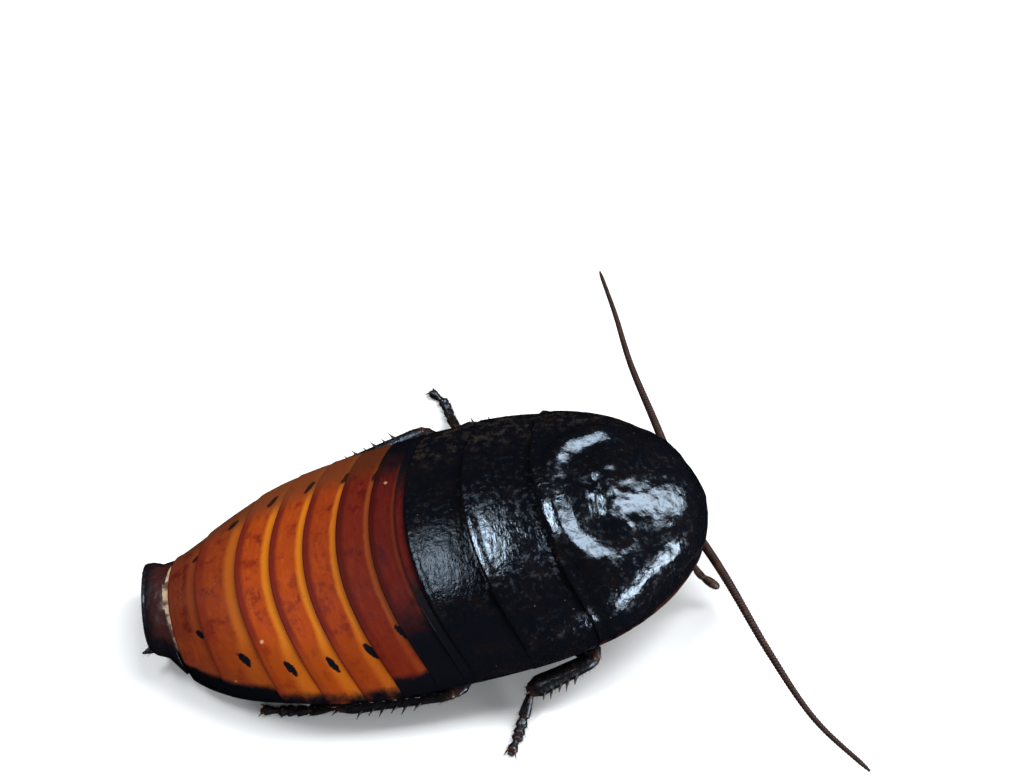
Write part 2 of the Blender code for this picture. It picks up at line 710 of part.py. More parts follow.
def make_leg(label, points):
    """Coxa, femur, spiny tibia and clawed tarsus, each cut clear of the one before."""
    hip, joint, knee, heel, toes = points
    pair, side = label.split("_")
    outward = 1 if side == "left" else -1
    coxa_parts = spindle(hip, joint, COXA_SIZE[pair], 10, COXA_SHAPE)
    coxa = tube(label + "_coxa", *coxa_parts, "leg_brown")
    rings = [core_section(x, CHEST_HEIGHT, CHEST_POWER, GAP) for x in (0.027, 0.0525)]
    apply_boolean(coxa, [loft("chest_clearance", rings)], "DIFFERENCE")
    femur_parts = spindle(joint, knee, FEMUR_SIZE[pair], 8, FEMUR_SHAPE)
    femur = tube(label + "_femur", *femur_parts, "leg_brown")
    grown = spindle(hip, joint, COXA_SIZE[pair], 10, COXA_SHAPE, GAP)
    apply_boolean(femur, [tube("coxa_clearance", *grown)], "DIFFERENCE")
    radius = TIBIA_SIZE[pair]
    tibia = tube(label + "_tibia", *spindle(knee, heel, (radius, radius), 8, TIBIA_SHAPE), "leg_brown")
    spines = make_spines(label, knee, heel, radius, pair, outward)
    apply_boolean(tibia, spines, "UNION")
    grown = spindle(joint, knee, FEMUR_SIZE[pair], 8, FEMUR_SHAPE, GAP)
    apply_boolean(tibia, [tube("femur_clearance", *grown)], "DIFFERENCE")
    tarsus, claws = make_tarsus(label + "_tarsus", heel, toes)
    apply_boolean(tarsus, claws, "UNION")
    grown = spindle(knee, heel, (radius, radius), 8, TIBIA_SHAPE, GAP)
    apply_boolean(tarsus, [tube("tibia_clearance", *grown)], "DIFFERENCE")


def centre_on_floor():
    """Put the origin on the floor under the middle of the whole figure's box."""
    points = [vertex.co for made in bpy.data.objects for vertex in made.data.vertices]
    middle = [(min(p[axis] for p in points) + max(p[axis] for p in points)) / 2 for axis in range(2)]
    shift = Vector((-middle[0], -middle[1], 0.0))
    for made in bpy.data.objects:
        for vertex in made.data.vertices:
            vertex.co += shift
        made.data.shade_smooth()
        made.data.set_sharp_from_angle(angle=math.radians(38.0))


def main():
    """Clear the scene and build the whole animal."""
    for old in list(bpy.data.objects):
        bpy.data.objects.remove(old)
    make_thorax()
    make_abdomen()
    make_head()
    for label, points in LEGS.items():
        make_leg(label, points)
    centre_on_floor()


main()
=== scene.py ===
"""Madagascar hissing cockroach: the looks of a still, life-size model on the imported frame.

The body is laid out in its own frame first. There the head points along +X, the left side
along +Y and the back along +Z, and a station is the distance ahead of the last ring's hind
edge. Lengths are in metres. TO_FRAME carries every finished mesh to the frame's origin.
"""
import math

import bmesh
import bpy
from mathutils import Matrix, Vector, noise


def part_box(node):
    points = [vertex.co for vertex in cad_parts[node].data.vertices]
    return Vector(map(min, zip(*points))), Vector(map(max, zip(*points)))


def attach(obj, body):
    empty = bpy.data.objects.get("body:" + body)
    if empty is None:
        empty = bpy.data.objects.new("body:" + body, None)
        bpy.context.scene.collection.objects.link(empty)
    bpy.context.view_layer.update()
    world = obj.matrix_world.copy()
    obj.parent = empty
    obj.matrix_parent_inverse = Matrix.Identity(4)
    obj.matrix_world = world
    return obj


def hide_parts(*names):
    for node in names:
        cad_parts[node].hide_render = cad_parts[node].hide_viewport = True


bl_info = {
    "name": "Hissing cockroach model",
    "version": (1, 0, 0),
    "blender": (4, 5, 0),
    "location": "View3D > Sidebar > Cockroach",
    "description": "Builds the shell, limbs, feelers and stage of a life-size insect model",
    "category": "Add Mesh",
}

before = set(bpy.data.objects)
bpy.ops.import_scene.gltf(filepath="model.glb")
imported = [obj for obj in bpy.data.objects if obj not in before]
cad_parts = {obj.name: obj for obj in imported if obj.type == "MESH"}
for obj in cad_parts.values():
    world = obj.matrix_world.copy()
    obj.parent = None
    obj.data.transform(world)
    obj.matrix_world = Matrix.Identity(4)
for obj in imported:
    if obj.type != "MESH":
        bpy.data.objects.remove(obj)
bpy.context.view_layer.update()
MM = 0.001

# Body outline, as in the frame
BODY_LENGTH = 0.060
NOSE_STATION = 0.059986
WIDEST_STATION = 0.033
HALF_WIDTH = 0.0147
TAIL_REACH = 0.0370
TAIL_FULLNESS = (2.92, 1.08)
TAIL_BLOCK = (0.0054, 0.0010, 0.0030)
NOSE_FULLNESS = (2.7, 0.52)
TAIL_END = -0.0002
WAIST_STATION = 0.012
WAIST_HEIGHT = 0.0098
CREST_STATION = 0.047
CREST_HEIGHT = 0.0155
TAIL_DROP = 0.0028
NOSE_DROP = 0.0069
NOSE_DROP_POWER = 3.5
EDGE_HEIGHT_TAIL = 0.0038
EDGE_HEIGHT_RISE = 0.0034
EDGE_DIP = 0.0020
EDGE_DIP_START = (0.0012, 0.0042)
EDGE_DIP_END = (0.0060, 0.0160)
BACK_ROUNDNESS = 0.81
TAIL_BEND = 0.0016
TAIL_BEND_REACH = 0.006

# Underside
BELLY_HEIGHT = 0.0010
BELLY_TAIL_HEIGHT = 0.0026
BELLY_TAIL_REACH = 0.010
BELLY_WAIST_HEIGHT = 0.0034
BELLY_WAIST_START = 0.0200
BELLY_WAIST_END = 0.0290
CHEST_HEIGHT = 0.0043
FLANK_INSET = 0.0003
BELLY_POWER = 2.3
CHEST_POWER = 1.3

# Hind edge of each back plate on the midline, and how far its corners sweep forward
NOTUM_EDGES = {"pronotum": 0.0422, "mesonotum": 0.0348, "metanotum": 0.0286}
NOTUM_SWEEPS = {"pronotum": 0.0036, "mesonotum": 0.0040, "metanotum": 0.0044}
TERGITE_EDGES = (0.0276, 0.0248, 0.0212, 0.0176, 0.0140, 0.0104, 0.0060, 0.0030)
TERGITE_SWEEPS = (0.0044, 0.0044, 0.0044, 0.0043, 0.0040, 0.0031, 0.0018, 0.0008)
STERNITE_EDGES = (0.0245, 0.0208, 0.0171, 0.0134, 0.0097, 0.0060)
STERNUM_EDGES = {"prosternum": 0.0424, "mesosternum": 0.0350, "metasternum": 0.0284}
PROSTERNUM_FRONT = 0.0515
LAST_PLATE_FRONT = 0.0025
PLATE_COLUMNS = 130
PLATE_ROWS = 30
TUCK = 0.0011
TERGITE_SLOTS = (
    "shell_mahogany", "shell_mahogany", "shell_red", "shell_red",
    "shell_orange", "shell_orange", "shell_brown", "shell_brown",
)

# Dark side spots of tergites 3 to 8: side share, then share from front to hind edge
SIDE_SPOTS = {
    3: (0.62, 0.05), 4: (0.70, 0.10), 5: (0.74, 0.27), 6: (0.75, 0.37), 7: (0.70, 0.33),
    8: (0.50, 0.12),
}

# Wall and edge softening, and the grid of points, of the hood and of the underside's plates
HOOD_WALL = (0.00045, 0.00012)
HOOD_ROWS = 96
HOOD_COLUMNS = 151
UNDER_WALL = (0.00022, 0.00004)
UNDER_ROWS = 20
UNDER_COLUMNS = 90

# Small piece that closes the hood's front arch: half sizes, the last one added to the arch's
NOSE_PIECE_INSET = 0.00018
NOSE_PIECE_SIZE = (0.00026, 0.00074, 0.00014)

# Soft body: columns above and below, rows, distance under the shell, and the closed tail
SKIN_COLUMNS = 46
SKIN_ROWS = 120
SKIN_FRONT = 0.0535
SKIN_DEPTH = 0.0010
SKIN_DEPTH_AT_BAND = 0.00035
SKIN_DEPTH_BELOW = 0.00034
SKIN_BAND = (LAST_PLATE_FRONT - 0.0004, 0.0036)
SKIN_FOLD = 0.00006
TAIL_CLOSING = (0.97, 0.90, 0.78, 0.62, 0.44, 0.26, 0.10)
TAIL_CLOSING_REACH = 0.0007
TAIL_LOBE_PLACE = (-0.0002, 0.0020, 0.0046)
TAIL_LOBE_SIZE = (0.00075, 0.00215, 0.00125)

# Head: height, station, half width and half depth from crown to lip
HEAD_RINGS = (
    (0.00935, 0.0552, 0.0006, 0.0005),
    (0.00890, 0.0554, 0.0023, 0.0014),
    (0.00780, 0.0555, 0.0034, 0.0020),
    (0.00640, 0.0555, 0.0038, 0.0023),
    (0.00500, 0.0553, 0.0034, 0.0022),
    (0.00380, 0.0550, 0.0027, 0.0019),
    (0.00280, 0.0546, 0.0020, 0.0014),
    (0.00210, 0.0543, 0.0010, 0.0008),
)
EYE_PLACE = (0.0561, 0.0031, 0.0070)
EYE_SIZE = (0.0010, 0.0010, 0.0017)
NECK_RADIUS = 0.0017
NECK_HEIGHT = 0.0066
CERCUS_RADIUS = 0.00055
CERCUS_ROOT = (0.0018, 0.0038, 0.0029)
CERCUS_TIP = (-0.0011, 0.0048, 0.0033)

# Limbs
COXA_SIZE = {"front": (0.0013, 0.0012), "middle": (0.0017, 0.0014), "hind": (0.0020, 0.0014)}
FEMUR_SIZE = {"front": (0.0009, 0.0007), "middle": (0.0015, 0.0010), "hind": (0.0016, 0.0010)}
TIBIA_SIZE = {"front": 0.00065, "middle": 0.00100, "hind": 0.00092}
SPINE_ROWS = {"front": 3, "middle": 5, "hind": 6}
SPINE_SCALE = {"front": 0.62, "middle": 0.94, "hind": 0.88}
SPINE_TILTS = (-0.25, 0.75, -1.15, 2.2)
SPINE_LENGTH = 0.0016
SPINE_LEAN = 0.75
SPINES_FROM = 0.24
SPINES_TO = 0.78
FOOT_CENTRE = 0.00036
TARSUS_RADIUS = 0.00052
TARSOMERES = (0.34, 0.15, 0.12, 0.11, 0.28)
FEELER_BASE_JOINTS = (0.00125, 0.00075)
PALP_RADIUS = 0.00040
LABIAL_PALP_RADIUS = 0.00030
PAD_SIZE = (0.00030, 0.00030, 0.00013)
END_PAD_SIZE = (0.00040, 0.00040, 0.00020)
CLAW_GIRTH = (0.00017, 0.00019)
CLAW_HEIGHTS = (0.00046, 0.00050, 0.00010)
LEAST_GAP_TO_FLOOR = 0.0002
LIMB_SHAPES = {
    "coxa": ((0.0, 0.75), (0.25, 1.0), (0.6, 0.95), (0.85, 0.75), (1.0, 0.5)),
    "femur": ((0.0, 0.55), (0.12, 0.85), (0.4, 1.0), (0.7, 0.92), (0.92, 0.8), (1.0, 0.5)),
    "tibia": ((0.0, 0.65), (0.12, 0.85), (0.5, 0.95), (0.88, 1.1), (1.0, 0.8)),
}

# Hairs per square metre on the parts of a leg; length, root radius and lean of other coats
LEG_COATS = {"lower_leg": 2.6e6, "foot": 7.0e6, "upper_leg": 1.1e6}
SMALL_COATS = {
    "maxillary_palp_left_joints": (0.00022, 0.000016, (0.6, 0.0, -0.4)),
    "maxillary_palp_right_joints": (0.00022, 0.000016, (0.6, 0.0, -0.4)),
    "cercus_left_rings": (0.00042, 0.000018, (-1.0, 0.0, 0.0)),
    "cercus_right_rings": (0.00042, 0.000018, (-1.0, 0.0, 0.0)),
}
SMALL_COAT_DENSITY = 9.0e6
HAIR_PATCH = 0.003

# Stage: direction and size of each softbox, and the camera's place and axes
SOFTBOXES = {
    "window": ((-0.32, 0.25, 0.90), (0.09, 0.16)),
    "front": ((0.60, 0.17, 0.77), (0.46, 0.15)),
    "strip": ((0.70, -0.70, 0.12), (0.36, 0.13)),
}
SOFTBOX_DISTANCE = 0.5
SOFTBOX_TARGET = Vector((0.044, 0.0, 0.008))
SOFTBOX_COLOUR = (0.95, 0.98, 1.0)
CAMERA_PLACE = Vector((0.0378, -0.069, 0.128))
CAMERA_RIGHT = Vector((0.9824, -0.1664, -0.0849))
CAMERA_UP = Vector((0.1844, 0.7918, 0.5823))

pronotum_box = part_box("pronotum")
mesonotum_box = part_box("mesonotum")
TO_FRAME = Vector((
    pronotum_box[1].x - NOSE_STATION,
    (mesonotum_box[0].y + mesonotum_box[1].y) / 2,
    0.0,
))


def mm(x, y, z):
    """A point given in millimetres."""
    return Vector((x, y, z)) * MM


def toe(x, y):
    """The middle of a toe joint that lies on the floor, from millimetres."""
    return Vector((x * MM, y * MM, FOOT_CENTRE))


FEELER_PATHS = {
    "antenna_right": (
        mm(57.2, -1.9, 6.2), mm(58.4, -3.5, 6.0), mm(60.2, -8.5, 5.0), mm(62.4, -16.3, 3.5),
        mm(65.0, -23.6, 2.3), mm(68.8, -29.4, 1.4),
    ),
    "antenna_left": (
        mm(57.2, 1.9, 6.2), mm(57.9, 4.6, 5.9), mm(57.4, 10.9, 6.1), mm(56.5, 20.0, 6.0),
        mm(56.4, 28.0, 5.6), mm(56.1, 35.5, 5.0),
    ),
}
PALP_PATHS = {
    "maxillary_palp_right": (
        mm(55.2, -1.9, 3.4), mm(56.2, -3.6, 4.4), mm(57.2, -5.4, 4.5), mm(57.9, -6.8, 3.8),
        mm(59.4, -7.9, 2.7),
    ),
    "maxillary_palp_left": (
        mm(55.2, 1.9, 3.4), mm(56.2, 3.5, 3.9), mm(57.0, 4.9, 3.3), mm(57.7, 5.8, 2.3),
        mm(58.6, 6.2, 1.3),
    ),
    "labial_palp_right": (mm(54.6, -0.8, 2.2), mm(55.9, -1.7, 1.5), mm(57.0, -2.2, 0.9)),
    "labial_palp_left": (mm(54.6, 0.8, 2.2), mm(55.9, 1.7, 1.5), mm(57.0, 2.2, 0.9)),
}
# Hip, end of the coxa, knee, heel, and the toe joints from the heel to the claws
LEGS = {
    "front_right": (
        mm(52.4, -2.5, 3.8), mm(48.6, -5.0, 2.1), mm(53.3, -6.2, 3.1), mm(49.9, -7.2, 1.5),
        (mm(48.3, -7.4, 0.70), toe(46.6, -7.5), toe(45.3, -7.5)),
    ),
    "front_left": (
        mm(52.4, 2.5, 3.8), mm(48.6, 5.0, 2.1), mm(53.3, 6.6, 3.1), mm(50.2, 8.6, 1.5),
        (mm(48.9, 9.4, 0.70), toe(47.4, 10.2), toe(46.2, 10.7)),
    ),
    "middle_right": (
        mm(46.4, -2.6, 3.8), mm(41.6, -6.8, 2.3), mm(45.2, -13.9, 4.2), mm(38.3, -15.2, 2.6),
        (mm(37.1, -17.0, 0.90), toe(36.1, -18.8), toe(35.3, -20.1)),
    ),
    "middle_left": (
        mm(46.4, 2.6, 3.8), mm(41.6, 6.8, 2.3), mm(43.8, 15.2, 4.2), mm(35.8, 17.4, 2.8),
        (mm(35.0, 20.6, 1.05), toe(34.5, 23.6), toe(33.3, 25.4)),
    ),
    "hind_right": (
        mm(39.6, -2.8, 3.8), mm(35.0, -6.4, 2.3), mm(30.5, -14.5, 3.8), mm(18.8, -12.7, 2.1),
        (mm(15.7, -12.0, 0.85), toe(12.8, -11.3), toe(10.8, -10.8)),
    ),
    "hind_left": (
        mm(39.6, 2.8, 3.8), mm(35.0, 6.4, 2.3), mm(31.7, 17.3, 4.4), mm(20.4, 15.4, 2.1),
        (mm(16.9, 14.2, 0.85), toe(13.9, 13.2), toe(11.9, 12.6)),
    ),
}


# Settings that a user would change

class ShellSettings(bpy.types.PropertyGroup):
    """Colours and edges of the shell."""

    black: bpy.props.FloatVectorProperty(
        name="Black shell", description="Thorax, last plate and spots", subtype="COLOR",
        size=3, min=0.0, max=1.0, default=(0.0026, 0.0030, 0.0048))
    mahogany: bpy.props.FloatVectorProperty(
        name="Mahogany shell", description="Middle of the first tergites", subtype="COLOR",
        size=3, min=0.0, max=1.0, default=(0.066, 0.0050, 0.0040))
    orange: bpy.props.FloatVectorProperty(
        name="Orange shell", description="Middle of the fifth and sixth tergites", subtype="COLOR",
        size=3, min=0.0, max=1.0, default=(0.258, 0.035, 0.0040))
    brown: bpy.props.FloatVectorProperty(
        name="Brown shell", description="Middle of the last tergite", subtype="COLOR",
        size=3, min=0.0, max=1.0, default=(0.110, 0.0170, 0.0060))
    # The light line colours are partly the tergites' own paler front edge and partly a painted
    # highlight.
    line: bpy.props.FloatVectorProperty(
        name="Light line", description="Front edge of the middle tergites", subtype="COLOR",
        size=3, min=0.0, max=1.0, default=(0.470, 0.135, 0.0070))
    salmon: bpy.props.FloatVectorProperty(
        name="Salmon line", description="Front edge of the first tergites", subtype="COLOR",
        size=3, min=0.0, max=1.0, default=(0.170, 0.030, 0.012))
    # The dark band colour is partly the tergites' own dark hind margin and partly painted shade.
    band: bpy.props.FloatVectorProperty(
        name="Dark band", description="Hind edge of each tergite", subtype="COLOR",
        size=3, min=0.0, max=1.0, default=(0.084, 0.0068, 0.0046))
    membrane: bpy.props.FloatVectorProperty(
        name="Soft membrane", description="Folds before the last plate", subtype="COLOR",
        size=3, min=0.0, max=1.0, default=(0.560, 0.400, 0.250))
    step: bpy.props.FloatProperty(
        name="Step", description="How far a plate's front edge lies below the plate before it",
        subtype="DISTANCE", unit="LENGTH", default=0.00035)
    notum_step: bpy.props.FloatProperty(
        name="Thorax step", description="The same for the two plates behind the hood",
        subtype="DISTANCE", unit="LENGTH", default=0.00070)
    thickness: bpy.props.FloatProperty(
        name="Thickness", description="Thickness of a plate at its hind edge",
        subtype="DISTANCE", unit="LENGTH", default=0.00028)
    lip: bpy.props.FloatProperty(
        name="Lip", description="Height of the rolled hind edge of a plate",
        subtype="DISTANCE", unit="LENGTH", default=0.00008)
    wrinkle: bpy.props.FloatProperty(
        name="Wrinkle", description="Height of the shell's uneven surface",
        subtype="DISTANCE", unit="LENGTH", default=0.00005)


class LimbSettings(bpy.types.PropertyGroup):
    """Sizes of what stands on the limbs."""

    spine_length: bpy.props.FloatProperty(
        name="Spine length", description="Longest spine of a tibia",
        subtype="DISTANCE", unit="LENGTH", default=SPINE_LENGTH)
    spine_base: bpy.props.FloatProperty(
        name="Spine base", description="Radius of a spine at its root",
        subtype="DISTANCE", unit="LENGTH", default=0.00024)
    hair_length: bpy.props.FloatProperty(
        name="Hair length", description="Length of the hairs on the limbs",
        subtype="DISTANCE", unit="LENGTH", default=0.00042)
    hair_base: bpy.props.FloatProperty(
        name="Hair base", description="Radius of a hair at its root",
        subtype="DISTANCE", unit="LENGTH", default=0.000022)
    claw_length: bpy.props.FloatProperty(
        name="Claw length", description="Length of a claw",
        subtype="DISTANCE", unit="LENGTH", default=0.0010)
    brown: bpy.props.FloatVectorProperty(
        name="Limb brown", description="Colour of the limbs where they are thin", subtype="COLOR",
        size=3, min=0.0, max=1.0, default=(0.060, 0.018, 0.008))


class FeelerSettings(bpy.types.PropertyGroup):
    """Sizes of the feelers."""

    base: bpy.props.FloatProperty(
        name="Base radius", description="Radius of a feeler behind its first joints",
        subtype="DISTANCE", unit="LENGTH", default=0.00054)
    tip: bpy.props.FloatProperty(
        name="Tip radius", description="Radius of a feeler at its tip",
        subtype="DISTANCE", unit="LENGTH", default=0.00024)
    rings: bpy.props.IntProperty(
        name="Rings", description="Number of rings in a feeler's lash", default=96, min=20)
    colour: bpy.props.FloatVectorProperty(
        name="Feeler brown", description="Colour of a feeler", subtype="COLOR",
        size=3, min=0.0, max=1.0, default=(0.030, 0.011, 0.007))


class StageSettings(bpy.types.PropertyGroup):
    """Floor, lights and camera."""

    floor: bpy.props.FloatVectorProperty(
        name="Floor", description="Colour of the floor", subtype="COLOR",
        size=3, min=0.0, max=1.0, default=(0.90, 0.90, 0.90))
    sky: bpy.props.FloatProperty(
        name="Sky", description="Brightness of the surrounding white", default=0.40, min=0.0)
    window: bpy.props.FloatProperty(
        name="Window", description="Power of the softbox over the back",
        unit="POWER", default=1.1, min=0.0)
    front: bpy.props.FloatProperty(
        name="Front light", description="Power of the long softbox over the head",
        unit="POWER", default=2.9, min=0.0)
    strip: bpy.props.FloatProperty(
        name="Strip light", description="Power of the low strip ahead on the right",
        unit="POWER", default=2.8, min=0.0)
    lens: bpy.props.FloatProperty(
        name="Lens", description="Focal length on a 36 mm wide sensor", default=46.43,
        unit="CAMERA")


# Expressions in node trees

class Term:
    """A socket that takes Python's operators, each of which adds a Math node."""

    def __init__(self, bench, socket):
        self.bench = bench
        self.socket = socket

    def out(self, name):
        """Another output of the same node."""
        return Term(self.bench, self.socket.node.outputs[name])

    def math(self, operation, *others):
        """A Math node with this value first."""
        return self.bench.math(operation, self, *others)

    def __add__(self, other):
        return self.math("ADD", other)

    def __radd__(self, other):
        return self.bench.math("ADD", other, self)

    def __sub__(self, other):
        return self.math("SUBTRACT", other)

    def __rsub__(self, other):
        return self.bench.math("SUBTRACT", other, self)

    def __mul__(self, other):
        return self.math("MULTIPLY", other)

    def __rmul__(self, other):
        return self.bench.math("MULTIPLY", other, self)

    def __truediv__(self, other):
        return self.math("DIVIDE", other)

    def __rtruediv__(self, other):
        return self.bench.math("DIVIDE", other, self)

    def __pow__(self, other):
        return self.math("POWER", other)

    def __neg__(self):
        return self.math("MULTIPLY", -1.0)


class Bench:
    """A node tree that is filled by expressions."""

    def __init__(self, tree):
        self.tree = tree

    def node(self, kind, settings=None, values=None, output=0):
        """Add a node: its settings first, then the values or links of its sockets."""
        made = self.tree.nodes.new(kind)
        for name, value in (settings or {}).items():
            if name == "stops":
                ramp = made.color_ramp.elements
                while len(ramp) < len(value):
                    ramp.new(1.0)
                for stop, (place, colour) in zip(ramp, value):
                    stop.position = place
                    stop.color = (*colour[:3], 1.0)
            else:
                setattr(made, name, value)
        for name, value in (values or {}).items():
            socket = made.inputs[name]
            if isinstance(value, Term):
                self.tree.links.new(value.socket, socket)
            elif socket.type == "RGBA":
                socket.default_value = (*tuple(value)[:3], 1.0)
            else:
                socket.default_value = value
        return Term(self, made.outputs[output]) if len(made.outputs) else None

    def math(self, operation, *values):
        """A Math node."""
        return self.node("ShaderNodeMath", {"operation": operation}, dict(enumerate(values)))

    def mix(self, first, second, factor, blend="MIX"):
        """One colour turning into another as the factor runs from 0 to 1."""
        settings = {"data_type": "RGBA", "blend_type": blend, "clamp_factor": True}
        return self.node("ShaderNodeMix", settings, {0: factor, 6: first, 7: second}, 2)

    def vector(self, operation, *values):
        """A Vector Math node."""
        return self.node("ShaderNodeVectorMath", {"operation": operation}, dict(enumerate(values)))

    def place(self):
        """Place on the piece in millimetres ahead of the tail, left of the midline and up."""
        where = self.node("ShaderNodeTexCoord").out("Object")
        shifted = self.vector("SUBTRACT", where, tuple(TO_FRAME))
        return self.node("ShaderNodeVectorMath", {"operation": "SCALE"}, {0: shifted, "Scale": 1 / MM})

    def split(self, value):
        """The three parts of a vector."""
        parts = self.node("ShaderNodeSeparateXYZ", {}, {0: value})
        return parts, parts.out("Y"), parts.out("Z")

    def unwrap(self):
        """Shares across and along a plate, or round and along a limb."""
        across, along, _ = self.split(self.node("ShaderNodeUVMap", {"uv_map": "Plate"}))
        return across, along

    def rise(self):
        """Share from root to tip of a spine or hair, or along a feeler's ring."""
        return self.node("ShaderNodeAttribute", {"attribute_name": "rise"}).out("Fac")

    def join(self, x, y, z):
        """A vector from three parts."""
        return self.node("ShaderNodeCombineXYZ", {}, {0: x, 1: y, 2: z})

    def noise(self, where, scale, detail=2.0, roughness=0.5):
        """Soft noise from 0 to 1."""
        values = {"Vector": where, "Scale": scale, "Detail": detail, "Roughness": roughness}
        return self.node("ShaderNodeTexNoise", {}, values)

    def cells(self, where, scale, feature="F1"):
        """Distance to the nearest of scattered points."""
        values = {"Vector": where, "Scale": scale}
        return self.node("ShaderNodeTexVoronoi", {"feature": feature}, values)


def unit(value):
    """A number or term held between 0 and 1."""
    if isinstance(value, Term):
        return value.math("MINIMUM", 1.0).math("MAXIMUM", 0.0)
    return min(max(value, 0.0), 1.0)


def positive(value):
    """A number or term held above 0."""
    return value.math("MAXIMUM", 0.0) if isinstance(value, Term) else max(value, 0.0)


def cosine(value):
    """Cosine of a number or term."""
    return value.math("COSINE") if isinstance(value, Term) else math.cos(value)


def sine(value):
    """Sine of a number or term."""
    return value.math("SINE") if isinstance(value, Term) else math.sin(value)


def bell(value, middle, width):
    """A soft bump of height 1 around the middle."""
    return math.exp(-0.5 * ((value - middle) / width) ** 2)


def ease(value, start=0.0, end=1.0):
    """Ease from 0 to 1 as value runs from start to end."""
    share = unit((value - start) / (end - start))
    return share * share * (3.0 - 2.0 * share)


# Shape of the body, for numbers and for terms

def half_width(x):
    """Half the body's width at station x."""
    tail = unit((WIDEST_STATION - x) / TAIL_REACH)
    nose = unit((x - WIDEST_STATION) / (BODY_LENGTH - WIDEST_STATION))
    block = unit((TAIL_BLOCK[1] - x) / TAIL_BLOCK[2])
    least = TAIL_BLOCK[0] * (1.0 - block ** 2) ** 0.5
    behind = HALF_WIDTH * (1.0 - tail ** TAIL_FULLNESS[0]) ** TAIL_FULLNESS[1]
    ahead = (1.0 - nose ** NOSE_FULLNESS[0]) ** NOSE_FULLNESS[1]
    return (least + positive(behind - least)) * ahead


def back_height(x):
    """Height of the back's midline at station x."""
    rise = ease(x, WAIST_STATION, CREST_STATION)
    tail = positive(1.0 - x / WAIST_STATION)
    nose = positive((x - CREST_STATION) / (BODY_LENGTH - CREST_STATION))
    height = WAIST_HEIGHT + (CREST_HEIGHT - WAIST_HEIGHT) * rise
    return height - TAIL_DROP * tail ** 2 - NOSE_DROP * nose ** NOSE_DROP_POWER


def edge_height(x):
    """Height of the shell's side edge at station x, with a dip beside the last tergites."""
    dip = ease(x, *EDGE_DIP_START) * (1.0 - ease(x, *EDGE_DIP_END))
    return EDGE_HEIGHT_TAIL + EDGE_HEIGHT_RISE / BODY_LENGTH * x - EDGE_DIP * dip


def tail_bend(x):
    """Sideways shift of the midline: the last rings turn slightly to the left."""
    return TAIL_BEND * positive(1.0 - x / TAIL_BEND_REACH) ** 2


def shell_place(x, angle, inset):
    """Side and height of the shell at station x, angle 0 on the left edge and pi on the right."""
    base = edge_height(x)
    tall = back_height(x) - inset - base
    side = tail_bend(x) + (half_width(x) - inset) * cosine(angle)
    return side, base + tall * positive(sine(angle)) ** BACK_ROUNDNESS


def shell_point(x, angle, inset=0.0):
    """A point of the shell."""
    return Vector((x, *shell_place(x, angle, inset)))


def belly_height(x):
    """Height of the abdomen's underside."""
    tail = positive(1.0 - x / BELLY_TAIL_REACH) ** 2
    waist = ease(x, BELLY_WAIST_START, BELLY_WAIST_END)
    rise = (BELLY_TAIL_HEIGHT - BELLY_HEIGHT) * tail
    return BELLY_HEIGHT + rise + (BELLY_WAIST_HEIGHT - BELLY_HEIGHT) * waist


def under_point(x, angle, inset, chest=False):
    """A point of the underside at station x, angle 0 on the right edge and pi on the left."""
    base = edge_height(x) - 0.0003
    bottom = CHEST_HEIGHT if chest else belly_height(x)
    side = -math.cos(angle)
    lift = abs(side) ** (CHEST_POWER if chest else BELLY_POWER)
    z = bottom + inset + (base - bottom - inset) * lift
    return Vector((x, tail_bend(x) + (half_width(x) - FLANK_INSET - inset) * side, z))


# Meshes

def even(start, end, count):
    """Evenly spaced numbers, both ends among them."""
    return [start + (end - start) * step / (count - 1) for step in range(count)]


def smooth_path(points, count):
    """Evenly stepped points on a smooth curve through the given ones."""
    ends = [2 * points[0] - points[1], *points, 2 * points[-1] - points[-2]]
    path = []
    spans = len(points) - 1
    for place in even(0.0, spans, count):
        span = min(int(place), spans - 1)
        t = place - span
        a, b, c, d = ends[span:span + 4]
        path.append(0.5 * (
            2 * b + (c - a) * t + (2 * a - 5 * b + 4 * c - d) * t ** 2
            + (3 * b - a - 3 * c + d) * t ** 3
        ))
    return path


def smooth_share(shape, place):
    """A share read from (place, share) pairs with eased steps between them."""
    for (start, low), (end, high) in zip(shape, shape[1:]):
        if place <= end:
            return low + (high - low) * ease(place, start, end)
    return shape[-1][1]


def surface(name, rows, closed=False, caps=False):
    """A mesh object through rows of points, with a UV map from the grid's two ways."""
    data = bmesh.new()
    uv = data.loops.layers.uv.new("Plate")
    verts = [[data.verts.new(point) for point in row] for row in rows]
    columns = len(rows[0])
    steps = columns if closed else columns - 1
    for low in range(len(rows) - 1):
        for left in range(steps):
            right = (left + 1) % columns
            below, above = verts[low], verts[low + 1]
            corners = (below[left], below[right], above[right], above[left])
            if len(set(corners)) < 4:
                continue
            face = data.faces.new(corners)
            places = ((left, low), (left + 1, low), (left + 1, low + 1), (left, low + 1))
            for loop, (across, along) in zip(face.loops, places):
                loop[uv].uv = (across / steps, along / (len(rows) - 1))
    if caps:
        for row, share in ((verts[0], 0.0), (verts[-1], 1.0)):
            middle = data.verts.new(sum((v.co for v in row), Vector()) / columns)
            for left in range(columns):
                face = data.faces.new((row[left], row[(left + 1) % columns], middle))
                for loop in face.loops:
                    loop[uv].uv = (0.5, share)
        bmesh.ops.recalc_face_normals(data, faces=data.faces)
    return mesh_object(name, data)


def mesh_object(name, data):
    """A new object from mesh data, in the body's own frame."""
    mesh = bpy.data.meshes.new(name)
    data.to_mesh(mesh)
    data.free()
    mesh.shade_smooth()
    made = bpy.data.objects.new(name, mesh)
    bpy.context.scene.collection.objects.link(made)
    return made


def face_outward(piece, outward):
    """Flip a piece's faces if most of them look away from where outward points."""
    total = sum(face.normal.dot(outward(face.center)) * face.area for face in piece.data.polygons)
    if total < 0:
        piece.data.flip_normals()
    return piece


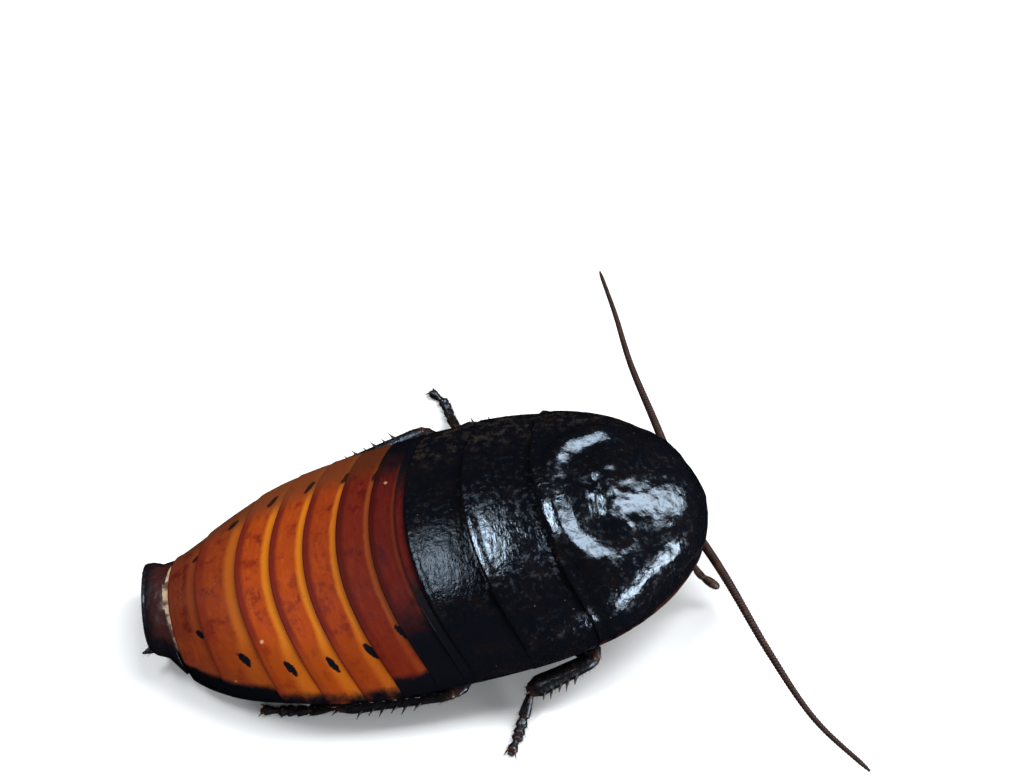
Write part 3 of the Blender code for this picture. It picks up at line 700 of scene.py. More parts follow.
def thicken(piece, thickness, bevel=0.00006):
    """Give a sheet its wall below its outer face, with softened edges."""
    wall = piece.modifiers.new("Wall", "SOLIDIFY")
    wall.thickness = thickness
    wall.offset = -1.0
    wall.use_even_offset = False
    soft = piece.modifiers.new("Soft edge", "BEVEL")
    soft.width = bevel
    soft.segments = 2
    soft.limit_method = "ANGLE"
    soft.angle_limit = math.radians(55)
    return piece


def made_plain(piece):
    """Replace a piece's modifiers by the plain mesh that they make."""
    bpy.context.view_layer.update()
    graph = bpy.context.evaluated_depsgraph_get()
    mesh = bpy.data.meshes.new_from_object(piece.evaluated_get(graph))
    mesh.name = piece.name
    piece.modifiers.clear()
    piece.data = mesh
    return piece


def roughen(piece, height):
    """Move a surface out by a height that depends on the place."""
    data = bmesh.new()
    data.from_mesh(piece.data)
    data.normal_update()
    moved = [vertex.co + vertex.normal * height(vertex.co) for vertex in data.verts]
    for vertex, point in zip(data.verts, moved):
        vertex.co = point
    data.to_mesh(piece.data)
    data.free()
    return piece


def joined(name, pieces):
    """One object from several, with their modifiers applied."""
    data = bmesh.new()
    data.loops.layers.uv.new("Plate")
    for piece in pieces:
        made_plain(piece)
        data.from_mesh(piece.data)
    for piece in pieces:
        bpy.data.objects.remove(piece)
    return mesh_object(name, data)


def put(piece, material, slot, *nodes):
    """Carry a finished piece to the frame, dress it and let it stand for its solids."""
    piece.data.transform(Matrix.Translation(TO_FRAME))
    piece.data.materials.clear()
    piece.data.materials.append(material)
    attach(piece, "root")
    if nodes:
        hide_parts(*nodes)
    return piece


def tube_rows(path, sizes, sides, floor=False, keel=0.0):
    """Rings of points round a path, with (across, upright) half sizes at each point."""
    rows = []
    last = len(path) - 1
    for index, (centre, (across, upright)) in enumerate(zip(path, sizes)):
        along = (path[min(index + 1, last)] - path[max(index - 1, 0)]).normalized()
        side = along.cross(Vector((0.0, 0.0, 1.0))).normalized()
        up = side.cross(along)
        row = []
        for corner in range(sides):
            turn = 2 * math.pi * (corner + 0.5) / sides
            shape = 1.0 + keel * math.cos(3 * turn)
            point = centre + side * across * shape * math.sin(turn)
            point -= up * upright * shape * math.cos(turn)
            if floor:
                point.z = max(point.z, 0.0)
            row.append(point)
        rows.append(row)
    return rows


def rounded_end(last, before, size):
    """Centres and half sizes of the three rings that round off a limb past its last point."""
    outward = (last - before).normalized()
    rings = []
    for turn in (0.25, 0.6, 0.88):
        full = math.sin(turn * math.pi / 2)
        reach = (1.0 - full) * min(size)
        rings.append((last + outward * reach, [half * full ** 0.7 for half in size]))
    return rings


def tube(name, path, sizes, sides=20, **options):
    """A closed limb with rounded ends."""
    start = rounded_end(path[0], path[1], sizes[0])
    end = rounded_end(path[-1], path[-2], sizes[-1])
    centres, girths = zip(*start, *zip(path, sizes), *reversed(end))
    return surface(name, tube_rows(centres, girths, sides, **options), closed=True, caps=True)


def limb(name, root, tip, size, shape, sides=24, count=30, bow=0.0, keel=0.0):
    """A limb joint between two points, its girth read from a named shape."""
    path = []
    sizes = []
    for share in even(0.0, 1.0, count):
        point = root.lerp(tip, share)
        point.z += bow * math.sin(share * math.pi)
        path.append(point)
        girth = smooth_share(LIMB_SHAPES[shape], share)
        sizes.append((size[0] * girth, size[1] * girth))
    return tube(name, path, sizes, sides, keel=keel)


def ball(name, centre, size, segments=28, rings=18):
    """A smooth ellipsoid with half sizes along the three axes."""
    rows = []
    for tilt in even(0.0, math.pi, rings + 1)[1:-1]:
        row = []
        for corner in range(segments):
            turn = 2 * math.pi * corner / segments
            wide = math.sin(tilt)
            point = (wide * math.cos(turn), wide * math.sin(turn), -math.cos(tilt))
            row.append(Vector([c + p * s for c, p, s in zip(centre, point, size)]))
        rows.append(row)
    made = surface(name, rows, closed=True, caps=True)
    for pole, end in zip(made.data.vertices[-2:], (-1.0, 1.0)):
        pole.co.z = centre[2] + end * size[2]
    made.data.uv_layers.remove(made.data.uv_layers["Plate"])
    return made


# Geometry Nodes trees

def new_tree(name, sockets):
    """A tree for a modifier, with its named inputs, its bench and its entry node."""
    tree = bpy.data.node_groups.new(name, "GeometryNodeTree")
    tree.interface.new_socket(name="Geometry", in_out="OUTPUT", socket_type="NodeSocketGeometry")
    tree.interface.new_socket(name="Geometry", in_out="INPUT", socket_type="NodeSocketGeometry")
    for title, kind in sockets.items():
        tree.interface.new_socket(name=title, in_out="INPUT", socket_type="NodeSocket" + kind)
    bench = Bench(tree)
    return tree, bench, bench.node("NodeGroupInput")


def end_tree(bench, entry, geometry):
    """End a tree: instances made real, then the material."""
    real = bench.node("GeometryNodeRealizeInstances", {}, {0: geometry})
    values = {"Geometry": real, "Material": entry.out("Material")}
    bench.node("NodeGroupOutput", {}, {0: bench.node("GeometryNodeSetMaterial", {}, values)})


def stored(bench, geometry, name, kind, domain, value):
    """Keep a value on the geometry under a name."""
    settings = {"data_type": kind, "domain": domain}
    values = {"Geometry": geometry, "Name": name, "Value": value}
    return bench.node("GeometryNodeStoreNamedAttribute", settings, values)


def read(bench, name, kind):
    """Read a named value of the geometry."""
    return bench.node("GeometryNodeInputNamedAttribute", {"data_type": kind}, {"Name": name})


def planted(bench, points, shape, aim, scale):
    """Copies of an upright shape on points, turned along aim."""
    turned = bench.node("FunctionNodeAlignRotationToVector", {"axis": "Z"}, {"Vector": aim})
    return bench.node("GeometryNodeInstanceOnPoints", {}, {
        "Points": points, "Instance": shape, "Rotation": turned, "Scale": scale,
    })


def plate_tree():
    """One plate of the back between two curved edges, from a grid bent onto the shell."""
    tree, bench, entry = new_tree("Shell plate", {
        "Columns": "Int", "Rows": "Int", "Front": "Float", "Hind": "Float",
        "Front Sweep": "Float", "Hind Sweep": "Float", "Tuck": "Float", "Step": "Float",
        "Lip": "Float", "Wrinkle": "Float", "Material": "Material",
    })
    grid = bench.node("GeometryNodeMeshGrid", {}, {
        "Size X": 1.0, "Size Y": 1.0,
        "Vertices X": entry.out("Columns"), "Vertices Y": entry.out("Rows"),
    })
    across, along, _ = bench.split(bench.node("GeometryNodeInputPosition"))
    angle = (across + 0.5) * math.pi
    bulge = cosine(angle) ** 2
    front = entry.out("Front") + entry.out("Front Sweep") * bulge
    hind = entry.out("Hind") + entry.out("Hind Sweep") * bulge
    start = front + entry.out("Tuck")
    x = start + (hind - start) * (along + 0.5)
    share = (front - x) / (front - hind)
    seen = unit(share)
    hidden = positive(-share)
    roll = ease(seen, 0.84, 0.94) - ease(seen, 0.95, 1.06)
    uneven = bench.noise(bench.join(x, across * 0.03, hind), 620.0, 3.0) - 0.5
    flat = 1.0 - 0.9 * cosine(angle) ** 4
    inset = entry.out("Step") * flat * ((1.0 - seen) ** 1.5 + hidden * 0.6)
    inset = inset - entry.out("Lip") * roll * flat + entry.out("Wrinkle") * uneven
    side, height = shell_place(x, angle, inset)
    mapped = stored(bench, grid, "Plate", "FLOAT2", "CORNER", bench.join(across + 0.5, seen, 0.0))
    bent = bench.node("GeometryNodeSetPosition", {}, {
        "Geometry": mapped, "Position": bench.join(x, side, height),
    })
    end_tree(bench, entry, bench.node("GeometryNodeFlipFaces", {}, {0: bent}))
    return tree


def spine_tree():
    """A bent cone on each point, aimed and scaled by the point's own values."""
    tree, bench, entry = new_tree("Spines", {
        "Length": "Float", "Base": "Float", "Tip": "Float", "Sides": "Int", "Bend": "Float",
        "Material": "Material",
    })
    cone = bench.node("GeometryNodeMeshCone", {}, {
        "Vertices": entry.out("Sides"), "Side Segments": 4, "Radius Top": entry.out("Tip"),
        "Radius Bottom": entry.out("Base"), "Depth": entry.out("Length"),
    })
    rise = bench.split(bench.node("GeometryNodeInputPosition"))[2] / entry.out("Length")
    bowed = bench.join(entry.out("Bend") * entry.out("Length") * rise * rise, 0.0, 0.0)
    bent = bench.node("GeometryNodeSetPosition", {}, {"Geometry": cone, "Offset": bowed})
    marked = stored(bench, bent, "rise", "FLOAT", "POINT", rise)
    points = bench.node("GeometryNodeMeshToPoints", {}, {"Mesh": entry})
    scale = read(bench, "scale", "FLOAT_VECTOR")
    end_tree(bench, entry, planted(bench, points, marked, read(bench, "aim", "FLOAT_VECTOR"), scale))
    return tree


def ring_tree():
    """A barrel-shaped ring on each point of a feeler's path."""
    tree, bench, entry = new_tree("Feeler rings", {
        "Sides": "Int", "Pinch": "Float", "Material": "Material",
    })
    barrel = bench.node("GeometryNodeMeshCylinder", {}, {
        "Vertices": entry.out("Sides"), "Side Segments": 5, "Radius": 1.0, "Depth": 1.0,
    })
    x, y, z = bench.split(bench.node("GeometryNodeInputPosition"))
    girth = 1.0 - entry.out("Pinch") * (z * 2.0).math("ABSOLUTE") ** 3
    flare = girth * (1.0 + 0.06 * z)
    shaped = bench.node("GeometryNodeSetPosition", {}, {
        "Geometry": barrel, "Position": bench.join(x * flare, y * flare, z),
    })
    marked = stored(bench, shaped, "rise", "FLOAT", "POINT", z + 0.5)
    points = bench.node("GeometryNodeMeshToPoints", {}, {"Mesh": entry})
    scale = read(bench, "scale", "FLOAT_VECTOR")
    end_tree(bench, entry, planted(bench, points, marked, read(bench, "aim", "FLOAT_VECTOR"), scale))
    return tree


def hair_tree():
    """Short closed hairs scattered over a piece, each with a small patch on its unwrap."""
    tree, bench, entry = new_tree("Hairs", {
        "Density": "Float", "Length": "Float", "Base": "Float", "Lean": "Vector",
        "Seed": "Int", "Material": "Material",
    })
    scattered = bench.node("GeometryNodeDistributePointsOnFaces", {}, {
        "Mesh": entry, "Density": entry.out("Density"), "Seed": entry.out("Seed"),
    })
    hair = bench.node("GeometryNodeMeshCone", {"fill_type": "NGON"}, {
        "Vertices": 3, "Side Segments": 2, "Radius Top": 0.000004,
        "Radius Bottom": entry.out("Base"), "Depth": entry.out("Length"),
    })
    x, y, z = bench.split(bench.node("GeometryNodeInputPosition"))
    marked = stored(bench, hair, "rise", "FLOAT", "POINT", z / entry.out("Length"))
    turn = (x * 0.8 + y * 0.6) / entry.out("Base")
    marked = stored(bench, marked, "around", "FLOAT", "POINT", turn * 0.5 + 0.5)
    skin = read(bench, "Plate", "FLOAT_VECTOR")
    rooted = stored(bench, scattered, "root", "FLOAT_VECTOR", "POINT", skin)
    aim = bench.vector("ADD", scattered.out("Normal"), entry.out("Lean"))
    size = bench.node("FunctionNodeRandomValue", {"data_type": "FLOAT"}, {
        2: 0.6, 3: 1.25, "Seed": entry.out("Seed"),
    }, 1)
    many = planted(bench, rooted, marked, aim, size)
    real = bench.node("GeometryNodeRealizeInstances", {}, {0: many})
    px, py, pz = bench.split(bench.node("GeometryNodeInputPosition"))
    above = bench.join(px, py, pz.math("MAXIMUM", 0.00001))
    real = bench.node("GeometryNodeSetPosition", {}, {"Geometry": real, "Position": above})
    root = read(bench, "root", "FLOAT_VECTOR")
    inside = bench.vector("MULTIPLY_ADD", root, (0.98,) * 3, (0.008,) * 3)
    across, along = (read(bench, name, "FLOAT") * HAIR_PATCH for name in ("around", "rise"))
    patch = bench.vector("ADD", inside, bench.join(across, along, 0.0))
    mapped = stored(bench, real, "OFBake", "FLOAT2", "CORNER", patch)
    end_tree(bench, entry, mapped)
    return tree


def grown(piece, tree, **values):
    """Run a tree on a piece with the given inputs, and keep its plain mesh."""
    modifier = piece.modifiers.new(tree.name, "NODES")
    modifier.node_group = tree
    for socket in tree.interface.items_tree:
        title = socket.name.replace(" ", "_").lower()
        if socket.in_out == "INPUT" and title in values:
            modifier[socket.identifier] = values[title]
    made_plain(piece)
    piece.data.shade_smooth()
    return piece


def marks(name, rows):
    """Loose points, each with the direction and the scale of what grows there."""
    mesh = bpy.data.meshes.new(name)
    mesh.from_pydata([row[0] for row in rows], [], [])
    for title, column in (("aim", 1), ("scale", 2)):
        values = mesh.attributes.new(title, "FLOAT_VECTOR", "POINT")
        values.data.foreach_set("vector", [number for row in rows for number in row[column]])
    made = bpy.data.objects.new(name, mesh)
    bpy.context.scene.collection.objects.link(made)
    return made


# Materials

def dressed(name, paint, **constants):
    """A material whose colour, roughness and height come from paint(bench)."""
    made = bpy.data.materials.get(name)
    if made:
        return made
    made = bpy.data.materials.new(name)
    made.use_nodes = True
    made.node_tree.nodes.clear()
    bench = Bench(made.node_tree)
    colour, roughness, height, depth = paint(bench)
    values = {"Base Color": colour, "Roughness": roughness, **constants}
    if height is not None:
        values["Normal"] = bench.node("ShaderNodeBump", {}, {
            "Strength": 1.0, "Distance": depth, "Height": height,
        })
    shader = bench.node("ShaderNodeBsdfPrincipled", {}, values)
    bench.node("ShaderNodeOutputMaterial", {}, {"Surface": shader})
    return made


def pits(bench, where, size):
    """Uneven dimpled surface: dents of the given size in millimetres with finer grain."""
    dents = bench.cells(where, 1.0 / size, "SMOOTH_F1")
    grain = bench.noise(where, 3.5 / size, 3.0, 0.6)
    swell = bench.noise(where, 0.5 / size, 2.0)
    return dents * 0.6 + grain * 0.12 + swell * 0.9


def specks(bench, where, spacing):
    """Sparse tiny specks, 1 on a speck: dust on the black shell, painted highlight dots on the
    tergites.
    """
    cells = bench.cells(where, 1.0 / spacing)
    chosen = ease(bench.noise(where, 0.45 / spacing, 1.0), 0.50, 0.56)
    return (1.0 - ease(cells, 0.035, 0.075)) * chosen


def black_shell(bench):
    """Deep black, faintly brown, finely pitted and glossy, with low ridges from side to side."""
    shell = bpy.context.scene.roach_shell
    where = bench.place()
    station, side, up = bench.split(where)
    tone = bench.noise(where, 0.5, 4.0, 0.6)
    colour = bench.mix(tuple(shell.black), (0.0050, 0.0034, 0.0036), ease(tone, 0.45, 0.75))
    dust = specks(bench, where, 1.2)
    colour = bench.mix(colour, (0.10, 0.095, 0.085), dust * 0.5)
    dirt = ease(side, 6.0, 9.5) * ease(bench.noise(where, 0.9, 4.0, 0.75), 0.47, 0.64)
    colour = bench.mix(colour, (0.026, 0.019, 0.014), dirt * 0.75)
    blur = ease(bench.noise(where, 1.6, 3.0, 0.6), 0.48, 0.66)
    rough = 0.09 + 0.05 * ease(tone, 0.38, 0.7) + 0.19 * blur
    ridges = bench.noise(bench.join(station * 1.5, side * 0.45, up * 0.45), 1.0, 3.0, 0.55)
    grain = bench.noise(where, 2.0, 3.0, 0.65)
    height = pits(bench, where, 0.8) * 0.35 + ridges * 0.6 + grain * 0.50
    return colour, rough + dust * 0.4 + dirt * 0.25, height, 0.00007


def black_rim(bench):
    """The pronotum: black, with a thin reddish rim along its front and side edges."""
    colour, rough, height, depth = black_shell(bench)
    across, along = bench.unwrap()
    edge = positive((across - 0.5).math("ABSOLUTE") * 2.0)
    rim = ease(edge, 0.955, 0.99)
    front = ease(along, 0.955, 0.99)
    where = bench.place()
    low = 1.0 - ease(bench.split(where)[2], 7.25, 7.55)
    worn = rim.math("MAXIMUM", front) * ease(bench.noise(where, 0.9, 2.0), 0.3, 0.6) * low
    return bench.mix(colour, (0.055, 0.016, 0.006), worn * 0.8), rough, height, depth * 0.85


def blend(low, high, share):
    """A colour between two, stepping evenly to the eye."""
    return [first ** (1.0 - share) * second ** share for first, second in zip(low, high)]


def tergite_paint(number):
    """Paint for one tergite: light line in front, partly its own colour and partly a painted highlight;
    bright middle; dark hind band, partly its own colour and partly painted shade; side spots; near
    flank painted lighter and far flank painted darker as painted light and shade; pale specks as
    painted highlight dots.
    """
    warm = (0.0, 0.10, 0.38, 0.86, 1.0, 1.0, 0.90, 0.60)[number - 1]
    late = (0.0, 0.0, 0.0, 0.0, 0.0, 0.05, 0.40, 0.95)[number - 1]
    lit = (0.15, 0.45, 0.75, 1.0, 1.0, 1.0, 1.0, 1.0)[number - 1]
    margin = (0.60, 0.66, 0.940, 0.980, 0.985, 0.975, 0.940, 0.92)[number - 1]

    def paint(bench):
        shell = bpy.context.scene.roach_shell
        black = tuple(shell.black)
        where = bench.place()
        across, along = bench.unwrap()
        side = cosine(across * math.pi).math("ABSOLUTE")
        right = ease(across, 0.42, 0.60)
        blotch = bench.noise(where, 0.55, 4.0, 0.6)
        streak = bench.noise(bench.join(across * 9.0, along * 2.2, number * 3.1), 3.2, 4.0, 0.65)
        thread = bench.noise(bench.join(across * 46.0, along * 1.6, number * 2.3), 1.6, 3.0, 0.6)
        wave = along + (streak - 0.5) * 0.10 + (blotch - 0.5) * 0.05 + (thread - 0.5) * 0.05
        base = blend(blend(shell.mahogany, shell.orange, warm), shell.brown, late)
        light = blend(blend(shell.salmon, shell.line, warm), shell.brown, late * 0.7)
        deep = [value * (0.35 + 0.75 * warm) for value in blend(shell.band, shell.brown, late)]
        bright = [value * shift for value, shift in zip(base, (1.22, 1.45, 1.1))]
        # Painted shade: dull dark brown for the far (left) flank, which faces away from the lights.
        far_shade_brown = [value * (0.30 + 0.70 * warm) for value in (0.110, 0.029, 0.0085)]
        dark = [value * shift for value, shift in zip(base, (0.62, 0.46, 0.9))]
        colour = bench.mix(dark, base, ease(blotch, 0.34, 0.52))
        colour = bench.mix(colour, bright, ease(streak, 0.46, 0.70) * 0.8)
        # Painted light: the near (right) flank, which faces the lights, is painted a lighter tan.
        flank = ease(side, 0.52, 0.80)
        near = flank * right * (0.25 + 0.75 * warm)
        lit_tan = blend(blend(base, light, 0.35), shell.orange, late * 0.7)
        lit_tan = [value * (0.66 + 0.60 * late) for value in lit_tan]
        lit_tan_share = near * (0.40 + 0.50 * ease(streak, 0.35, 0.62))
        colour = bench.mix(colour, lit_tan, lit_tan_share)
        # Light line along the front edge: partly the tergite's own paler front strip and partly a
        # painted highlight where the front rise faces the lights; wider on the near flank.
        reach = 0.14 + 0.11 * lit + 0.035 * max(number - 4, 0) + 0.22 * near
        line = 1.0 - ease(wave / reach, 0.50, 1.0)
        colour = bench.mix(colour, light, line * lit * (1.0 - 0.60 * flank))
        # Dark hind band: partly the tergite's own dark hind margin and partly painted shade where the
        # hind edge faces away from the lights.
        band = ease(wave, 0.70 + 0.02 * warm, 0.88) * (1.0 - 0.60 * flank)
        colour = bench.mix(colour, deep, band * (0.94 - 0.5 * late))
        # Darker hind edge towards the sides: partly its own colour and partly painted shade, like the
        # band.
        seam = ease(along, 0.90, 0.98) * ease(side, 0.40, 0.6)
        colour = bench.mix(colour, deep, seam * 0.6)
        # Painted shade: the far (left) flank is darkened towards that dull brown.
        dull = ease(side, 0.52, 0.76) * (1.0 - right)
        colour = bench.mix(colour, far_shade_brown, dull * (0.55 + 0.55 * blotch))
        if number in SIDE_SPOTS:
            share, place = SIDE_SPOTS[number]
            away = side - share + 0.02 - 0.085 * right
            off = (away / 0.052) ** 2 + ((along - place + away * 0.8) / 0.10) ** 2
            ragged = bench.noise(where, 1.9, 3.0, 0.6)
            jagged = off * (1.4 - 0.4 * right) + (ragged - 0.5) * 2.6
            spot = 1.0 - ease(jagged, 0.75, 1.30 + 0.5 * (1.0 - right))
            colour = bench.mix(colour, black, spot * (0.88 + 0.12 * right))
        fleck = bench.cells(where, 0.85)
        small = (1.0 - ease(fleck, 0.05, 0.13)) * ease(streak, 0.45, 0.6)
        colour = bench.mix(colour, deep, small * 0.6)
        # Painted highlight: sparse pale dots that stand in for tiny glints.
        colour = bench.mix(colour, (0.50, 0.26, 0.15), specks(bench, where, 3.4) * 0.8)
        soft = 0.20 if number < 3 else 0.022
        edge = side + (blotch - 0.5) * (0.45 if number < 3 else 0.07)
        limit = margin - (0.22 if number == 1 else 0.10 if number == 2 else 0.0)
        colour = bench.mix(colour, black, ease(edge, limit - soft, limit + soft))
        fine = bench.noise(bench.join(across * 70.0, along * 5.0, number * 1.7), 1.0, 3.0, 0.6)
        grain = bench.noise(where, 5.5, 3.0, 0.6)
        height = fine * 0.5 + grain * 0.45 + bench.cells(where, 2.2, "SMOOTH_F1") * 0.4
        rough = 0.40 + 0.14 * ease(blotch, 0.35, 0.65) - 0.12 * ease(side, margin - 0.03, margin + 0.02)
        return colour, rough, height, 0.000035

    return paint


def last_plate_paint(bench):
    """The supra-anal plate: dark maroon turning black at its hind edge."""
    where = bench.place()
    tone = bench.noise(where, 0.9, 4.0, 0.6)
    across, along = bench.unwrap()
    side = cosine(across * math.pi).math("ABSOLUTE")
    dark = ease(along + (tone - 0.5) * 0.7, 0.35, 0.85).math("MAXIMUM", ease(side, 0.72, 0.86))
    colour = bench.mix((0.038, 0.0085, 0.006), (0.006, 0.004, 0.006), dark)
    return colour, 0.24 + 0.2 * tone, pits(bench, where, 0.8), 0.00018


def membrane_paint(bench):
    """Soft folded skin: cream before the last plate, dark red-brown elsewhere."""
    shell = bpy.context.scene.roach_shell
    where = bench.place()
    station, side, height = bench.split(where)
    fold = bench.noise(where, 2.2, 4.0, 0.6)
    blot = bench.noise(where, 0.75, 3.0, 0.6)
    pale = ease(station, 1.9, 2.3) * (1.0 - ease(station, 3.2, 4.2)) * ease(height, 3.4, 4.0)
    dark = bench.mix((0.016, 0.007, 0.006), (0.045, 0.020, 0.014), ease(fold, 0.4, 0.7))
    cream = bench.mix(tuple(shell.membrane), (0.13, 0.055, 0.030), ease(blot, 0.40, 0.58))
    cream = bench.mix(cream, (0.010, 0.005, 0.005), ease(side.math("ABSOLUTE"), 3.9, 5.2))
    colour = bench.mix(dark, cream, pale)
    return colour, 0.42 + 0.15 * fold, fold + bench.cells(where, 1.6) * 0.5, 0.00008


def lobe_paint(bench):
    """The two lobes under the last plate: dark red-brown, mottled."""
    where = bench.place()
    mottle = bench.noise(where, 1.2, 3.0, 0.6)
    colour = bench.mix((0.008, 0.005, 0.005), (0.050, 0.016, 0.009), ease(mottle, 0.42, 0.66))
    return colour, 0.26 + 0.2 * mottle, pits(bench, where, 0.5), 0.00006


def under_paint(bench):
    """Underside plates: amber-brown in the middle, black and glossy towards the sides."""
    where = bench.place()
    across, along = bench.unwrap()
    side = cosine(across * math.pi).math("ABSOLUTE")
    mottle = bench.noise(where, 0.8, 4.0, 0.6)
    amber = bench.mix((0.085, 0.030, 0.012), (0.040, 0.012, 0.007), ease(mottle, 0.4, 0.65))
    amber = bench.mix(amber, (0.012, 0.006, 0.006), ease(along, 0.70, 0.95) * 0.7)
    colour = bench.mix(amber, (0.005, 0.004, 0.006), ease(side + (mottle - 0.5) * 0.25, 0.55, 0.8))
    return colour, 0.22 + 0.2 * ease(mottle, 0.3, 0.7), pits(bench, where, 0.8), 0.00008


def limb_paint(bench):
    """Limbs: nearly black, red-brown where the shell is thin at the joints."""
    limbs = bpy.context.scene.roach_limbs
    where = bench.place()
    along = bench.unwrap()[1]
    ends = (along - 0.5).math("ABSOLUTE") * 2.0
    mottle = bench.noise(where, 1.6, 4.0, 0.6)
    thin = ease(ends + (mottle - 0.5) * 0.3, 0.70, 1.0)
    colour = bench.mix((0.006, 0.005, 0.006), tuple(limbs.brown), thin * 0.7)
    colour = bench.mix(colour, (0.020, 0.009, 0.007), ease(mottle, 0.55, 0.75) * 0.6)
    rough = 0.24 + 0.2 * ease(mottle, 0.3, 0.7)
    return colour, rough, pits(bench, where, 0.45), 0.00010


def thorn_paint(root, tip, reach, roughness, rougher):
    """Paint for spines and hairs: one colour at the root turning into another at the tip."""
    def paint(bench):
        rise = bench.rise()
        colour = bench.mix(root, tip, ease(rise, *reach))
        return colour, roughness + rougher * rise, None, 0.0

    return paint


SPINE_PAINT = thorn_paint((0.006, 0.005, 0.006), (0.070, 0.022, 0.008), (0.45, 1.0), 0.26, 0.15)
HAIR_PAINT = thorn_paint((0.020, 0.010, 0.006), (0.130, 0.060, 0.022), (0.2, 0.9), 0.35, 0.1)


def claw_paint(bench):
    """Claws: reddish horn with black tips."""
    along = bench.unwrap()[1]
    colour = bench.mix((0.075, 0.024, 0.010), (0.006, 0.004, 0.004), ease(along, 0.3, 0.9))
    return colour, 0.2 + 0.08 * along, None, 0.0


def feeler_paint(bench):
    """Feelers: dull brown rings, darker at the joints."""
    feelers = bpy.context.scene.roach_feelers
    where = bench.place()
    rise = bench.rise()
    middle = 1.0 - (rise - 0.5).math("ABSOLUTE") * 2.0
    mottle = bench.noise(where, 1.2, 3.0)
    colour = bench.mix((0.010, 0.005, 0.004), tuple(feelers.colour), ease(middle, 0.1, 0.6))
    colour = bench.mix(colour, (0.075, 0.030, 0.016), ease(mottle, 0.5, 0.75) * 0.6)
    return colour, 0.40 + 0.12 * mottle, bench.noise(where, 14.0, 3.0), 0.00002


def palp_paint(bench):
    """Palps: mottled brown."""
    where = bench.place()
    mottle = bench.noise(where, 2.0, 3.0)
    colour = bench.mix((0.018, 0.009, 0.007), (0.100, 0.040, 0.018), ease(mottle, 0.45, 0.7))
    return colour, 0.35 + 0.1 * mottle, bench.noise(where, 8.0, 3.0), 0.00003


def head_paint(bench):
    """Head: glossy black brow and cheeks, red-brown towards the mouth, fine sutures."""
    where = bench.place()
    _, side, height = bench.split(where)
    mottle = bench.noise(where, 1.1, 4.0, 0.6)
    low = 1.0 - ease(height + (mottle - 0.5) * 1.2, 3.2, 5.2)
    colour = bench.mix((0.006, 0.005, 0.006), (0.085, 0.026, 0.011), low * 0.8)
    cheek = ease(side.math("ABSOLUTE"), 2.2, 3.2) * (1.0 - ease(height, 4.5, 6.0))
    colour = bench.mix(colour, (0.120, 0.050, 0.022), cheek * 0.5)
    return colour, 0.24 + 0.14 * mottle, pits(bench, where, 0.5), 0.00008


def mouth_paint(bench):
    """Lip and jaws: amber-brown with black biting edges."""
    where = bench.place()
    height = bench.split(where)[2]
    mottle = bench.noise(where, 2.0, 3.0)
    colour = bench.mix((0.012, 0.006, 0.005), (0.130, 0.048, 0.018), ease(height + mottle, 2.2, 3.4))
    return colour, 0.28 + 0.12 * mottle, bench.noise(where, 6.0, 3.0), 0.00003


def eye_paint(bench):
    """Compound eye: black-brown and glossy, a fine net of facets."""
    where = bench.place()
    net = bench.cells(where, 11.0, "DISTANCE_TO_EDGE")
    line = 1.0 - ease(net, 0.02, 0.10)
    colour = bench.mix((0.008, 0.006, 0.006), (0.030, 0.020, 0.016), line * 0.6)
    return colour, 0.14 + 0.25 * line, ease(net, 0.0, 0.35), 0.00002


def mottled_paint(light, dark, roughness, depth):
    """Paint for soft parts in two mottled tones."""
    def paint(bench):
        mottle = bench.noise(bench.place(), 3.0, 3.0)
        colour = bench.mix(light, dark, ease(mottle, 0.4, 0.65))
        return colour, roughness + 0.15 * mottle, mottle, depth

    return paint


PAD_PAINT = mottled_paint((0.060, 0.030, 0.018), (0.026, 0.013, 0.009), 0.45, 0.00002)
EYE_SPOT_PAINT = mottled_paint((0.42, 0.27, 0.14), (0.24, 0.13, 0.06), 0.3, 0.00003)


def floor_paint(bench):
    """Plain pale floor."""
    where = bench.place()
    grain = bench.noise(where, 0.02, 2.0)
    tone = tuple(bpy.context.scene.roach_stage.floor)
    return bench.mix(tone, tuple(value * 0.99 for value in tone), grain), 0.9, None, 0.0


SHELL_GLOSS = {"Specular IOR Level": 0.70, "Specular Tint": (0.66, 0.82, 1.0, 1.0)}
DULL_GLOSS = {**SHELL_GLOSS, "Specular IOR Level": 0.15}
HORN_GLOSS = {"Specular IOR Level": 0.4}
FEELER_GLOSS = {"Specular IOR Level": 0.25}
TERGITE_GLOSS = {"Specular IOR Level": 0.035}


# Operators

def back_plate(name, tree, front, hind, sweeps, material, slot, step, tuck=TUCK):
    """One plate of the back, thickened and put on the frame."""
    shell = bpy.context.scene.roach_shell
    piece = mesh_object(name + "_shell", bmesh.new())
    grown(
        piece, tree, columns=PLATE_COLUMNS, rows=PLATE_ROWS, front=front, hind=hind,
        front_sweep=sweeps[0], hind_sweep=sweeps[1], tuck=tuck, step=step,
        lip=shell.lip, wrinkle=shell.wrinkle, material=material,
    )
    face_outward(piece, lambda place: Vector((0.0, place.y, place.z)))
    made_plain(thicken(piece, shell.thickness))
    return put(piece, material, slot, name)


